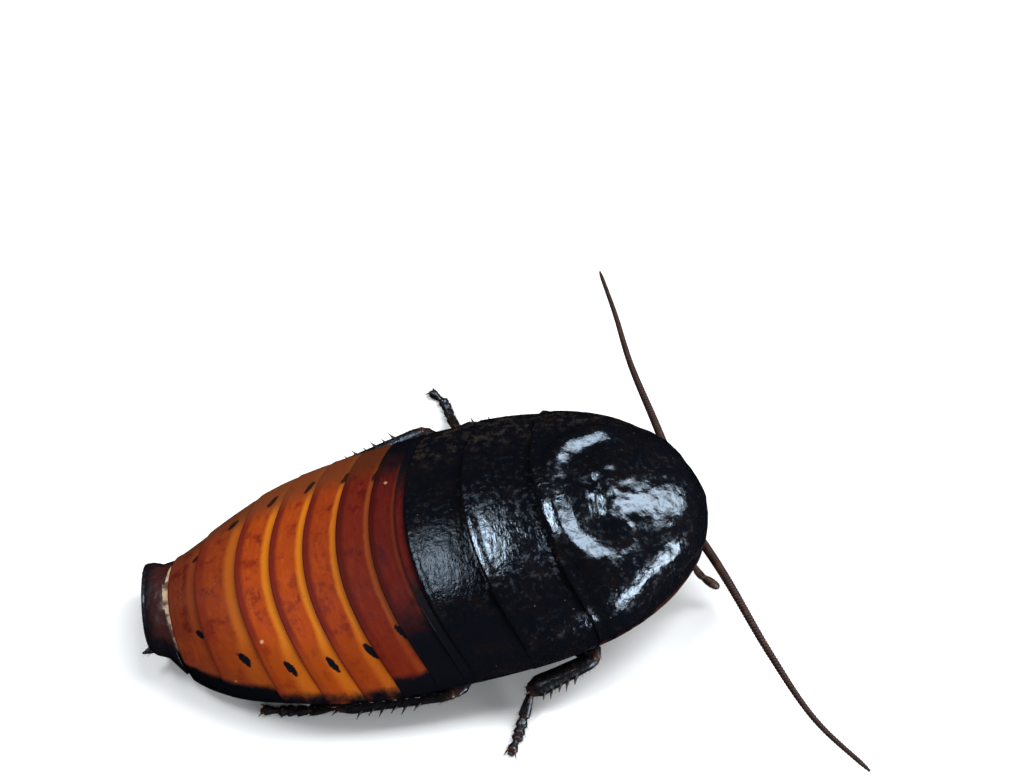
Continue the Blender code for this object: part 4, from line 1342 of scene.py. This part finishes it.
def pronotum_relief(place):
    """Height of the hood's rim, ridge, humps and dents over its smooth dome."""
    x = place.x / MM
    y = abs(place.y / MM + 1.6)
    hind = NOTUM_EDGES["pronotum"] / MM + NOTUM_SWEEPS["pronotum"] / MM * (place.y / HALF_WIDTH) ** 2
    back = x - hind
    reach = ((max(50.5 - x, 0.0) / 6.9) ** 2.3 + (y / 7.9) ** 2.3) ** (1 / 2.3)
    behind = 1.0 - ease(x, 50.0, 53.0)
    left = ease(place.y / MM, 1.5, 5.0)
    fall = ease(reach, 1.0, 1.22) * max(ease(x, 47.5, 44.5), left)
    rough = noise.noise(Vector((x, place.y / MM, place.z / MM)) * 0.9)
    finer = noise.noise(Vector((x, place.y / MM, place.z / MM)) * 2.1 + Vector((7, 3, 1)))
    total = 0.10 * bell(back, 0.40, 0.34) - 0.05 * bell(back, 1.1, 0.25)
    total += (0.36 + 0.34 * left) * (1.0 - fall) * ease(reach, 0.71, 1.0) * behind
    total += 0.40 * bell(x - 0.9 * rough, 49.6, 1.2) * (1.0 - ease(y, 2.4, 5.2)) * behind
    total -= 0.14 * bell(x, 51.6, 0.8) * bell(y, 4.4, 1.2)
    total += 0.80 * ease(x, 54.5, 59.5) * ease(place.z / MM, 9.5, 12.5)
    total -= 0.22 * bell(x, 54.0, 2.2)
    fade = ease(place.z, edge_height(place.x), edge_height(place.x) + 0.0016)
    return (total * fade + 0.055 * rough + 0.020 * finer) * MM


class BuildThorax(bpy.types.Operator):
    """Build the hood over the head and the two plates behind it."""

    bl_idname = "roach.build_thorax"
    bl_label = "Thorax"

    def execute(self, context):
        shell = context.scene.roach_shell
        hood = dressed("hood_chitin", black_rim, **SHELL_GLOSS)
        black = dressed("thorax_chitin", black_shell, **SHELL_GLOSS)
        dull = dressed("metanotum_chitin", black_shell, **DULL_GLOSS)
        sweep = NOTUM_SWEEPS["pronotum"]
        rows = []
        for row in even(0.0, 1.0, HOOD_ROWS):
            share = (1.0 - (1.0 - row) ** 1.9) * 0.999
            points = []
            for angle in even(0.0, math.pi, HOOD_COLUMNS):
                start = NOTUM_EDGES["pronotum"] + sweep * math.cos(angle) ** 2
                points.append(shell_point(start + (BODY_LENGTH - start) * share, angle))
            rows.append(points)
        piece = surface("pronotum_shell", rows)
        face_outward(piece, lambda place: Vector((0.0, place.y, place.z)))
        roughen(piece, pronotum_relief)
        made_plain(thicken(piece, *HOOD_WALL))
        low, high = edge_height(BODY_LENGTH), back_height(BODY_LENGTH)
        middle = Vector((BODY_LENGTH - NOSE_PIECE_INSET, 0.0, (low + high) / 2))
        deep, wide, spare = NOSE_PIECE_SIZE
        nose = ball("hood_nose", middle, (deep, wide, (high - low) / 2 + spare), 32, 20)
        put(nose, black, "shell_black")
        put(piece, hood, "shell_black", "pronotum")
        tree = plate_tree()
        before = "pronotum"
        for name, paint in (("mesonotum", black), ("metanotum", dull)):
            sweeps = (NOTUM_SWEEPS[before], NOTUM_SWEEPS[name])
            edges = (NOTUM_EDGES[before], NOTUM_EDGES[name])
            back_plate(name, tree, *edges, sweeps, paint, "shell_black", shell.notum_step)
            before = name
        return {"FINISHED"}


class BuildAbdomen(bpy.types.Operator):
    """Build the eight tergites and the supra-anal plate."""

    bl_idname = "roach.build_abdomen"
    bl_label = "Abdomen"

    def execute(self, context):
        shell = context.scene.roach_shell
        tree = plate_tree()
        front = NOTUM_EDGES["metanotum"]
        sweep = NOTUM_SWEEPS["metanotum"]
        for number, hind in enumerate(TERGITE_EDGES, 1):
            colour = dressed(f"tergite_{number}_shell", tergite_paint(number), **TERGITE_GLOSS)
            sweeps = (sweep, TERGITE_SWEEPS[number - 1])
            slot = TERGITE_SLOTS[number - 1]
            back_plate(f"tergite_{number}", tree, front, hind, sweeps, colour, slot, shell.step)
            front = hind
            sweep = sweeps[1]
        last = dressed("last_plate", last_plate_paint, **SHELL_GLOSS)
        back_plate(
            "supra_anal_plate", tree, LAST_PLATE_FRONT, TAIL_END, (sweep, 0.0), last,
            "shell_black", shell.step, 0.0)
        return {"FINISHED"}


class BuildUnderside(bpy.types.Operator):
    """Build the underside plates, the soft membranes and the neck."""

    bl_idname = "roach.build_underside"
    bl_label = "Underside"

    def execute(self, context):
        paint = dressed("underside_shell", under_paint, **SHELL_GLOSS)
        front = PROSTERNUM_FRONT
        for name, hind in STERNUM_EDGES.items():
            self.plate(name, front, hind, True, paint)
            front = hind
        for number, hind in enumerate(STERNITE_EDGES, 1):
            self.plate(f"sternite_{number}", front, hind, False, paint)
            front = hind
        self.plate("subgenital_plate", front, TAIL_END, False, paint)
        self.membranes()
        return {"FINISHED"}

    def plate(self, name, front, hind, chest, paint):
        """One plate of the underside, its hind edge over the next one."""
        rows = []
        for share in even(-0.18, 1.0, UNDER_ROWS):
            x = front + (hind - front) * share
            inset = 0.00022 * (1.0 - unit(share)) ** 1.5 + 0.0002 * positive(-share)
            x = min(x, PROSTERNUM_FRONT)
            angles = even(0.0, math.pi, UNDER_COLUMNS)
            rows.append([under_point(x, angle, inset, chest) for angle in angles])
        piece = surface(name + "_shell", rows)
        face_outward(piece, lambda place: Vector((0.0, place.y, place.z - 0.008)))
        made_plain(thicken(piece, *UNDER_WALL))
        put(piece, paint, "belly_brown", name)

    def membranes(self):
        """The soft body between the plates, closed from tail to neck."""
        rows = []
        start = TAIL_END + 0.0007
        above = even(0.02, math.pi - 0.02, SKIN_COLUMNS)
        below = even(0.03, math.pi - 0.03, SKIN_COLUMNS)
        for x in even(start, SKIN_FRONT, SKIN_ROWS):
            chest = x > STERNUM_EDGES["metasternum"]
            depth = SKIN_DEPTH_AT_BAND if SKIN_BAND[0] < x < SKIN_BAND[1] else SKIN_DEPTH
            ring = [shell_point(x, angle, depth) for angle in above]
            ring += [under_point(x, angle, SKIN_DEPTH_BELOW, chest) for angle in below]
            fold = SKIN_FOLD * math.sin(x / MM * 9.0)
            middle = sum(ring, Vector()) / len(ring)
            rows.append([point + (point - middle).normalized() * fold for point in ring])
        first = rows[0]
        middle = sum(first, Vector()) / len(first)
        for share in TAIL_CLOSING:
            back = Vector(((1.0 - share ** 2) ** 0.5 * -TAIL_CLOSING_REACH, 0.0, 0.0))
            rows.insert(0, [middle.lerp(point, share) + back for point in first])
        skin = dressed("soft_membrane", membrane_paint, **HORN_GLOSS)
        body = surface("body_membranes", rows, closed=True, caps=True)
        put(body, skin, "belly_brown")
        lobes = []
        for side in (-1, 1):
            ahead, out, up = TAIL_LOBE_PLACE
            place = Vector((start + ahead, tail_bend(start) + side * out, up))
            lobes.append(ball(f"tail_lobe_{side}", place, TAIL_LOBE_SIZE))
        put(joined("tail_lobes", lobes), dressed("tail_lobe_chitin", lobe_paint), "shell_black")
        stations = even(PROSTERNUM_FRONT - 0.0006, 0.0549, 40)
        sizes = [NECK_RADIUS * (1.0 + 0.05 * math.sin(x / MM * 11.0)) for x in stations]
        path = [Vector((x, 0.0, NECK_HEIGHT)) for x in stations]
        put(tube("neck_skin", path, list(zip(sizes, sizes)), 30), skin, "belly_brown", "neck")


class BuildHead(bpy.types.Operator):
    """Build the head with its eyes, eye spots, lip and jaws."""

    bl_idname = "roach.build_head"
    bl_label = "Head"

    def execute(self, context):
        rings = [Vector(ring[:3]) for ring in HEAD_RINGS]
        depths = [Vector((ring[3], 0.0, 0.0)) for ring in HEAD_RINGS]
        rows = []
        for (height, station, wide), depth in zip(smooth_path(rings, 70), smooth_path(depths, 70)):
            row = []
            for corner in range(72):
                turn = 2 * math.pi * corner / 72
                flat = 1.0 - 0.10 * max(math.cos(turn), 0.0) ** 4
                x = station + depth.x * math.cos(turn) * flat
                row.append(Vector((x, wide * math.sin(turn), height)))
            rows.append(row)
        head = surface("head_capsule", rows, closed=True, caps=True)
        roughen(head, self.relief)
        put(head, dressed("head_shell", head_paint, **SHELL_GLOSS), "shell_black", "head")
        eye = dressed("eye_facets", eye_paint)
        spot = dressed("pale_horn", EYE_SPOT_PAINT)
        for side, name in ((1, "left"), (-1, "right")):
            centre = Vector((EYE_PLACE[0], side * EYE_PLACE[1], EYE_PLACE[2]))
            globe = ball("eye_" + name + "_globe", centre, EYE_SIZE, 48, 32)
            for vertex in globe.data.vertices:
                low = ease((centre.z - vertex.co.z) / EYE_SIZE[2], -0.2, 1.0)
                vertex.co.y -= side * 0.00035 * low
            put(globe, eye, "eye_black", "eye_" + name)
            lens = ball("ocellus_" + name, mm(57.55, side * 1.15, 7.0), mm(0.14, 0.26, 0.30), 20, 14)
            put(lens, spot, "eye_black")
        mouth = dressed("mouth_horn", mouth_paint, **HORN_GLOSS)
        self.lip(mouth)
        self.jaws(mouth)
        return {"FINISHED"}

    @staticmethod
    def relief(place):
        """Height of the brow, sockets and sutures over the smooth head."""
        x, y, z = (value / MM for value in place)
        if x < 55.3:
            return 0.02 * MM * noise.noise(Vector((x, y, z)) * 1.4)
        away = math.hypot(abs(y) - 1.9, z - 6.2)
        total = 0.14 * bell(away, 0.72, 0.13) - 0.22 * bell(away, 0.0, 0.42)
        total -= 0.07 * bell(y, 0.0, 0.10) * ease(z, 7.0, 7.6)
        total -= 0.07 * bell(z, 7.1 - abs(y) * 0.9, 0.12) * (1.0 - ease(abs(y), 1.2, 1.8))
        total -= 0.10 * bell(z, 4.15, 0.12) * (1.0 - ease(abs(y), 1.6, 2.4))
        total += 0.12 * bell(z, 5.1, 0.7) * bell(y, 0.0, 1.1)
        total -= 0.10 * bell(abs(y), 2.1, 0.14) * (1.0 - ease(z, 4.2, 5.0))
        total += 0.02 * noise.noise(Vector((x, y, z)) * 1.6)
        return total * MM

    def lip(self, material):
        """The lip: a small curved flap with a notch, below the face."""
        rows = []
        for share in even(0.0, 1.0, 26):
            z = 3.45 - 1.75 * share
            reach = 56.62 - 0.55 * share
            wide = 1.25 * (1.0 - 0.35 * share ** 2)
            row = []
            for place in even(-1.0, 1.0, 40):
                notch = 0.22 * math.exp(-((place / 0.22) ** 2)) * share ** 3
                drop = 0.25 * abs(place) ** 3 * share
                row.append(mm(reach - 0.55 * place ** 2, wide * place, z + notch + drop))
            rows.append(row)
        flap = surface("labrum", rows)
        face_outward(flap, lambda place: Vector((1.0, 0.0, 0.0)))
        made_plain(thicken(flap, 0.00032, 0.00010))
        put(flap, material, "shell_black")

    def jaws(self, material):
        """Two stout jaws that close under the lip."""
        parts = []
        for side in (1, -1):
            path = smooth_path([
                mm(55.2, side * 1.9, 3.7), mm(55.75, side * 1.55, 2.9),
                mm(55.9, side * 0.85, 2.1), mm(55.85, side * 0.12, 1.75),
            ], 26)
            taper = [share ** 1.5 for share in even(0, 1, 26)]
            sizes = [(0.00052 * (1.0 - 0.62 * t), 0.00040 * (1.0 - 0.6 * t)) for t in taper]
            parts.append(tube(f"jaw_{side}", path, sizes, 20))
        put(joined("mandibles", parts), material, "shell_black")


class BuildFeelers(bpy.types.Operator):
    """Build the ringed feelers and the palps."""

    bl_idname = "roach.build_feelers"
    bl_label = "Feelers and palps"

    def execute(self, context):
        feelers = context.scene.roach_feelers
        paint = dressed("feeler_rings", feeler_paint, **FEELER_GLOSS)
        tree = ring_tree()
        for name, points in FEELER_PATHS.items():
            path = smooth_path(points, 400)
            reach = [0.0]
            for first, second in zip(path, path[1:]):
                reach.append(reach[-1] + (second - first).length)
            grow = [0.72 + 0.56 * ease(share, 0.0, 0.45) for share in even(0.0, 1.0, feelers.rings)]
            ring_length = (reach[-1] - sum(FEELER_BASE_JOINTS)) / sum(grow)
            lengths = [*FEELER_BASE_JOINTS, *(ring_length * share for share in grow)]
            rows = []
            gone = 0.0
            for index, length in enumerate(lengths):
                middle = gone + length / 2
                spot = min(sum(1 for value in reach if value < middle), len(path) - 2)
                past = (middle - reach[spot - 1]) / (reach[spot] - reach[spot - 1])
                place = path[spot - 1].lerp(path[spot], past)
                aim = (path[min(spot + 4, len(path) - 1)] - path[max(spot - 4, 0)]).normalized()
                share = middle / reach[-1]
                girth = feelers.base + (feelers.tip - feelers.base) * share
                if index < 2:
                    girth = feelers.base * (1.15, 1.0)[index]
                if index > len(lengths) - 4:
                    girth *= (0.9, 0.8, 0.6)[index - len(lengths) + 3]
                rows.append((place, aim, (girth, girth, length * 1.18)))
                gone += length
            piece = grown(marks(name + "_rings", rows), tree, sides=14, pinch=0.24, material=paint)
            put(piece, paint, "feeler_brown", name)
        palp = dressed("palp_shell", palp_paint, **HORN_GLOSS)
        for name, points in PALP_PATHS.items():
            thin = name.startswith("labial")
            joints = 3 if thin else 5
            radius = LABIAL_PALP_RADIUS if thin else PALP_RADIUS
            count = 14 * joints + 1
            sizes = []
            for share in even(0.0, 1.0, count):
                within = (share * joints) % 1.0
                hump = math.sin(math.pi * min(within + 0.02, 1.0)) ** 0.6
                swell = 0.72 + 0.30 * hump * (0.8 + 0.3 * within)
                swell *= 0.92 + 0.30 * ease(share, 0.6, 0.95)
                sizes.append((radius * swell, radius * swell))
            piece = tube(name + "_joints", smooth_path(points, count), sizes, 18)
            put(piece, palp, "feeler_brown", name)
        return {"FINISHED"}


class BuildLegs(bpy.types.Operator):
    """Build the six legs: hips, thighs, spiny shins, jointed feet, pads and claws."""

    bl_idname = "roach.build_legs"
    bl_label = "Legs"

    def execute(self, context):
        self.shell = dressed("limb_shell", limb_paint, **SHELL_GLOSS)
        self.horn = dressed("claw_horn", claw_paint)
        self.pad = dressed("foot_pad", PAD_PAINT)
        self.thorn = dressed("spine_horn", SPINE_PAINT, **HORN_GLOSS)
        self.tree = spine_tree()
        for label, points in LEGS.items():
            self.leg(label, points)
        return {"FINISHED"}

    def leg(self, label, points):
        """One leg from hip to claws."""
        hip, joint, knee, heel, toes = points
        pair, hand = label.split("_")
        outward = 1 if hand == "left" else -1
        coxa = limb(label + "_hip", hip, joint, COXA_SIZE[pair], "coxa", 32, 40, keel=0.05)
        put(coxa, self.shell, "leg_brown", label + "_coxa")
        thigh = limb(label + "_thigh", joint, knee, FEMUR_SIZE[pair], "femur", 32, 44, keel=0.06)
        first = joint.lerp(knee, 0.16)
        small = FEMUR_SIZE[pair][1] * 0.80
        path = [joint.lerp(first, share) for share in even(0.0, 1.0, 8)]
        ring = tube(label + "_ring", path, [(small * 1.12, small)] * 8, 24)
        put(joined(label + "_upper_leg", [thigh, ring]), self.shell, "leg_brown", label + "_femur")
        radius = TIBIA_SIZE[pair]
        shin = limb(label + "_shin", knee, heel, (radius, radius * 0.94), "tibia", 28, 44, keel=0.05)
        rows, sockets = self.spines(knee, heel, radius, pair, outward)
        bumps = [
            ball(f"{label}_socket_{index}", place, (size,) * 3, 12, 8)
            for index, (place, size) in enumerate(sockets)
        ]
        put(joined(label + "_lower_leg", [shin, *bumps]), self.shell, "leg_brown", label + "_tibia")
        limbs = bpy.context.scene.roach_limbs
        thorns = grown(
            marks(label + "_spines", rows), self.tree, length=limbs.spine_length,
            base=limbs.spine_base, tip=0.00002, sides=8, bend=0.10, material=self.thorn)
        put(thorns, self.thorn, "leg_brown")
        self.foot(label, heel, toes)

    def spines(self, knee, heel, radius, pair, outward):
        """Rows of spines along a shin and a crown of spurs at its end, and their sockets."""
        along = (heel - knee).normalized()
        down = Vector((0.0, 0.0, -1.0))
        down = (down - along * down.dot(along)).normalized()
        out = along.cross(down).normalized()
        if out.y * outward < 0:
            out = -out
        rows = []
        sockets = []
        count = SPINE_ROWS[pair]
        scale = SPINE_SCALE[pair]
        for row, tilt in enumerate(SPINE_TILTS):
            for place in range(count):
                step = place + 0.4 * (row % 2)
                share = SPINES_FROM + (SPINES_TO - SPINES_FROM) * step / (count - 0.6)
                size = scale * (1.0 - 0.22 * ((place + row) % 2)) * (1.0, 1.0, 0.7, 0.6)[row]
                aim = (out * math.cos(tilt) + down * math.sin(tilt) + along * SPINE_LEAN).normalized()
                root = knee.lerp(heel, share) + aim * radius * 0.62
                if root.z + aim.z * size * SPINE_LENGTH < LEAST_GAP_TO_FLOOR:
                    continue
                rows.append((root, aim, (size ** 0.5, size ** 0.5, size)))
                sockets.append((root + aim * radius * 0.12, 0.00021 * size ** 0.5))
        for turn in even(0.0, 2 * math.pi * 5 / 6, 6):
            aim = (out * math.cos(turn) + down * math.sin(turn) + along * 1.25).normalized()
            root = heel - along * radius * 0.35 + aim * radius * 0.45
            size = scale * (0.62 + 0.22 * math.cos(turn))
            if root.z + aim.z * size * SPINE_LENGTH > LEAST_GAP_TO_FLOOR:
                rows.append((root, aim, (size ** 0.5, size ** 0.5, size)))
        return rows, sockets

    def foot(self, label, heel, toes):
        """Five foot joints with their pads, the end pad and two claws."""
        path = smooth_path([heel, *toes], 121)
        joints = []
        pads = []
        start = 0.0
        for index, part in enumerate(TARSOMERES):
            end = start + part
            span = path[round(start * 120):round(end * 120) + 1]
            sizes = []
            for share in even(0.0, 1.0, len(span)):
                girth = 0.62 + 0.42 * ease(share, 0.0, 0.9)
                if index == 4:
                    girth = 0.55 + 0.40 * ease(share, 0.3, 1.0)
                sizes.append((TARSUS_RADIUS * girth * 1.12, TARSUS_RADIUS * girth))
            joints.append(tube(f"{label}_joint_{index}", span, sizes, 18, floor=True))
            if index < 4:
                low = span[-1] + Vector((0.0, 0.0, -TARSUS_RADIUS * 0.62))
                low.z = max(low.z, PAD_SIZE[2])
                pads.append(ball(f"{label}_sole_{index}", low, PAD_SIZE, 16, 10))
            start = end
        put(joined(label + "_foot", joints), self.shell, "leg_brown", label + "_tarsus")
        ahead = (path[-1] - path[-6]).normalized()
        side = ahead.cross(Vector((0.0, 0.0, 1.0)))
        tip = path[-1] + ahead * 0.00022
        tip.z = END_PAD_SIZE[2]
        pads.append(ball(label + "_end_pad", tip, END_PAD_SIZE, 20, 12))
        put(joined(label + "_pads", pads), self.pad, "leg_brown")
        claws = []
        length = bpy.context.scene.roach_limbs.claw_length
        for turn in (-1, 1):
            aim = (ahead + side * turn * 0.55).normalized()
            root = path[-1] - ahead * 0.0001 + side * turn * 0.00022
            points = [root, root + aim * length * 0.45, root + aim * length * 0.95]
            for point, height in zip(points, CLAW_HEIGHTS):
                point.z = height
            taper = [1.0 - 0.88 * share for share in even(0, 1, 18)]
            sizes = [[girth * share for girth in CLAW_GIRTH] for share in taper]
            claws.append(tube(f"{label}_claw_{turn}", smooth_path(points, 18), sizes, 12, floor=True))
        put(joined(label + "_claws", claws), self.horn, "leg_brown")


class BuildCerci(bpy.types.Operator):
    """Build the two ringed tail feelers."""

    bl_idname = "roach.build_cerci"
    bl_label = "Tail feelers"

    def execute(self, context):
        shell = dressed("limb_shell", limb_paint, **SHELL_GLOSS)
        for side, name in ((1, "cercus_left"), (-1, "cercus_right")):
            root, tip = (
                Vector((x, TAIL_BEND + side * y, z)) for x, y, z in (CERCUS_ROOT, CERCUS_TIP))
            shape = ((0.0, 0.8), (0.3, 1.0), (0.75, 0.7), (1.0, 0.25))
            path = [root.lerp(tip, share) for share in even(0.0, 1.0, 45)]
            sizes = []
            for share in even(0.0, 1.0, 45):
                girth = CERCUS_RADIUS * smooth_share(shape, share)
                girth *= 0.90 + 0.10 * abs(math.cos(share * math.pi * 5.5))
                sizes.append((girth, girth))
            put(tube(name + "_rings", path, sizes, 22), shell, "leg_brown", name)
        return {"FINISHED"}


class GrowHairs(bpy.types.Operator):
    """Grow the short hairs of the legs, the long palps and the tail feelers."""

    bl_idname = "roach.grow_hairs"
    bl_label = "Hairs"

    def execute(self, context):
        limbs = context.scene.roach_limbs
        tree = hair_tree()
        paint = dressed("hair_horn", HAIR_PAINT)
        number = 0
        for label, points in LEGS.items():
            heel, tip = points[3], points[4][-1]
            hair = (limbs.hair_length, limbs.hair_base, tuple((tip - heel).normalized() * 1.3))
            for part, density in LEG_COATS.items():
                number += 1
                self.coat(f"{label}_{part}", tree, paint, density, hair, number)
        for name, hair in SMALL_COATS.items():
            number += 1
            self.coat(name, tree, paint, SMALL_COAT_DENSITY, hair, number)
        return {"FINISHED"}

    @staticmethod
    def coat(source, tree, paint, density, hair, seed):
        """Hairs over a copy of one piece, from their length, root radius and lean."""
        length, base, lean = hair
        piece = bpy.data.objects.new(source + "_hairs", bpy.data.objects[source].data.copy())
        bpy.context.scene.collection.objects.link(piece)
        for vertex in piece.data.vertices:
            vertex.co -= TO_FRAME
        grown(
            piece, tree, density=density, length=length, base=base, lean=lean, seed=seed,
            material=paint)
        put(piece, paint, "leg_brown")


class SetStage(bpy.types.Operator):
    """Set the floor, the lights and the camera."""

    bl_idname = "roach.set_stage"
    bl_label = "Stage"

    def execute(self, context):
        stage = context.scene.roach_stage
        data = bmesh.new()
        bmesh.ops.create_grid(data, x_segments=1, y_segments=1, size=3.0)
        floor = mesh_object("floor", data)
        floor.data.materials.append(dressed("pale_floor", floor_paint))
        floor.visible_glossy = False
        sky = bpy.data.worlds.new("white_room")
        context.scene.world = sky
        sky.use_nodes = True
        room = sky.node_tree.nodes["Background"]
        room.inputs["Color"].default_value = (0.96, 0.98, 1.0, 1.0)
        room.inputs["Strength"].default_value = stage.sky
        sky.cycles_visibility.glossy = False
        context.scene.view_settings.view_transform = "Standard"
        for name, (direction, size) in SOFTBOXES.items():
            self.softbox(name, direction, size, getattr(stage, name))
        camera = bpy.data.cameras.new("camera")
        camera.lens = stage.lens
        camera.sensor_width = 36.0
        camera.clip_start = 0.005
        camera.clip_end = 10.0
        eye = bpy.data.objects.new("camera", camera)
        back = CAMERA_RIGHT.cross(CAMERA_UP)
        turn = Matrix((CAMERA_RIGHT, CAMERA_UP, back)).transposed()
        eye.matrix_world = turn.to_4x4()
        eye.location = CAMERA_PLACE + TO_FRAME
        context.scene.collection.objects.link(eye)
        context.scene.camera = eye
        return {"FINISHED"}

    @staticmethod
    def softbox(name, direction, size, power):
        """A rectangular soft light that looks at the thorax from one direction."""
        light = bpy.data.lights.new(name, "AREA")
        light.shape = "RECTANGLE"
        light.size, light.size_y = size
        light.energy = power
        light.color = SOFTBOX_COLOUR
        lamp = bpy.data.objects.new(name, light)
        away = Vector(direction).normalized()
        along = (Vector((1.0, 0.0, 0.0)) - away * away.x).normalized()
        turn = Matrix((along, away.cross(along), away)).transposed()
        place = SOFTBOX_TARGET + TO_FRAME + away * SOFTBOX_DISTANCE
        lamp.matrix_world = Matrix.Translation(place) @ turn.to_4x4()
        bpy.context.scene.collection.objects.link(lamp)


class RoachPanel(bpy.types.Panel):
    """Lists the builders and their settings."""

    bl_idname = "VIEW3D_PT_roach"
    bl_label = "Hissing cockroach"
    bl_space_type = "VIEW_3D"
    bl_region_type = "UI"
    bl_category = "Cockroach"

    def draw(self, context):
        for builder in BUILDERS:
            self.layout.operator(builder.bl_idname)
        for group in (getattr(context.scene, name) for name in SETTINGS):
            box = self.layout.box()
            for title in group.__annotations__:
                box.prop(group, title)


SETTINGS = {
    "roach_shell": ShellSettings,
    "roach_limbs": LimbSettings,
    "roach_feelers": FeelerSettings,
    "roach_stage": StageSettings,
}
BUILDERS = (
    BuildThorax, BuildAbdomen, BuildUnderside, BuildHead, BuildFeelers, BuildLegs, BuildCerci,
    GrowHairs, SetStage,
)


def register():
    """Register the settings, the builders and the panel."""
    for made in (*SETTINGS.values(), *BUILDERS, RoachPanel):
        bpy.utils.register_class(made)
    for name, group in SETTINGS.items():
        setattr(bpy.types.Scene, name, bpy.props.PointerProperty(type=group))


def unregister():
    """Take the panel, the builders and the settings out again."""
    for name in SETTINGS:
        delattr(bpy.types.Scene, name)
    for made in (RoachPanel, *reversed(BUILDERS), *SETTINGS.values()):
        bpy.utils.unregister_class(made)


def main():
    """Build every piece in order."""
    register()
    for builder in BUILDERS:
        group, name = builder.bl_idname.split(".")
        getattr(getattr(bpy.ops, group), name)()


if __name__ == "__main__":
    main()
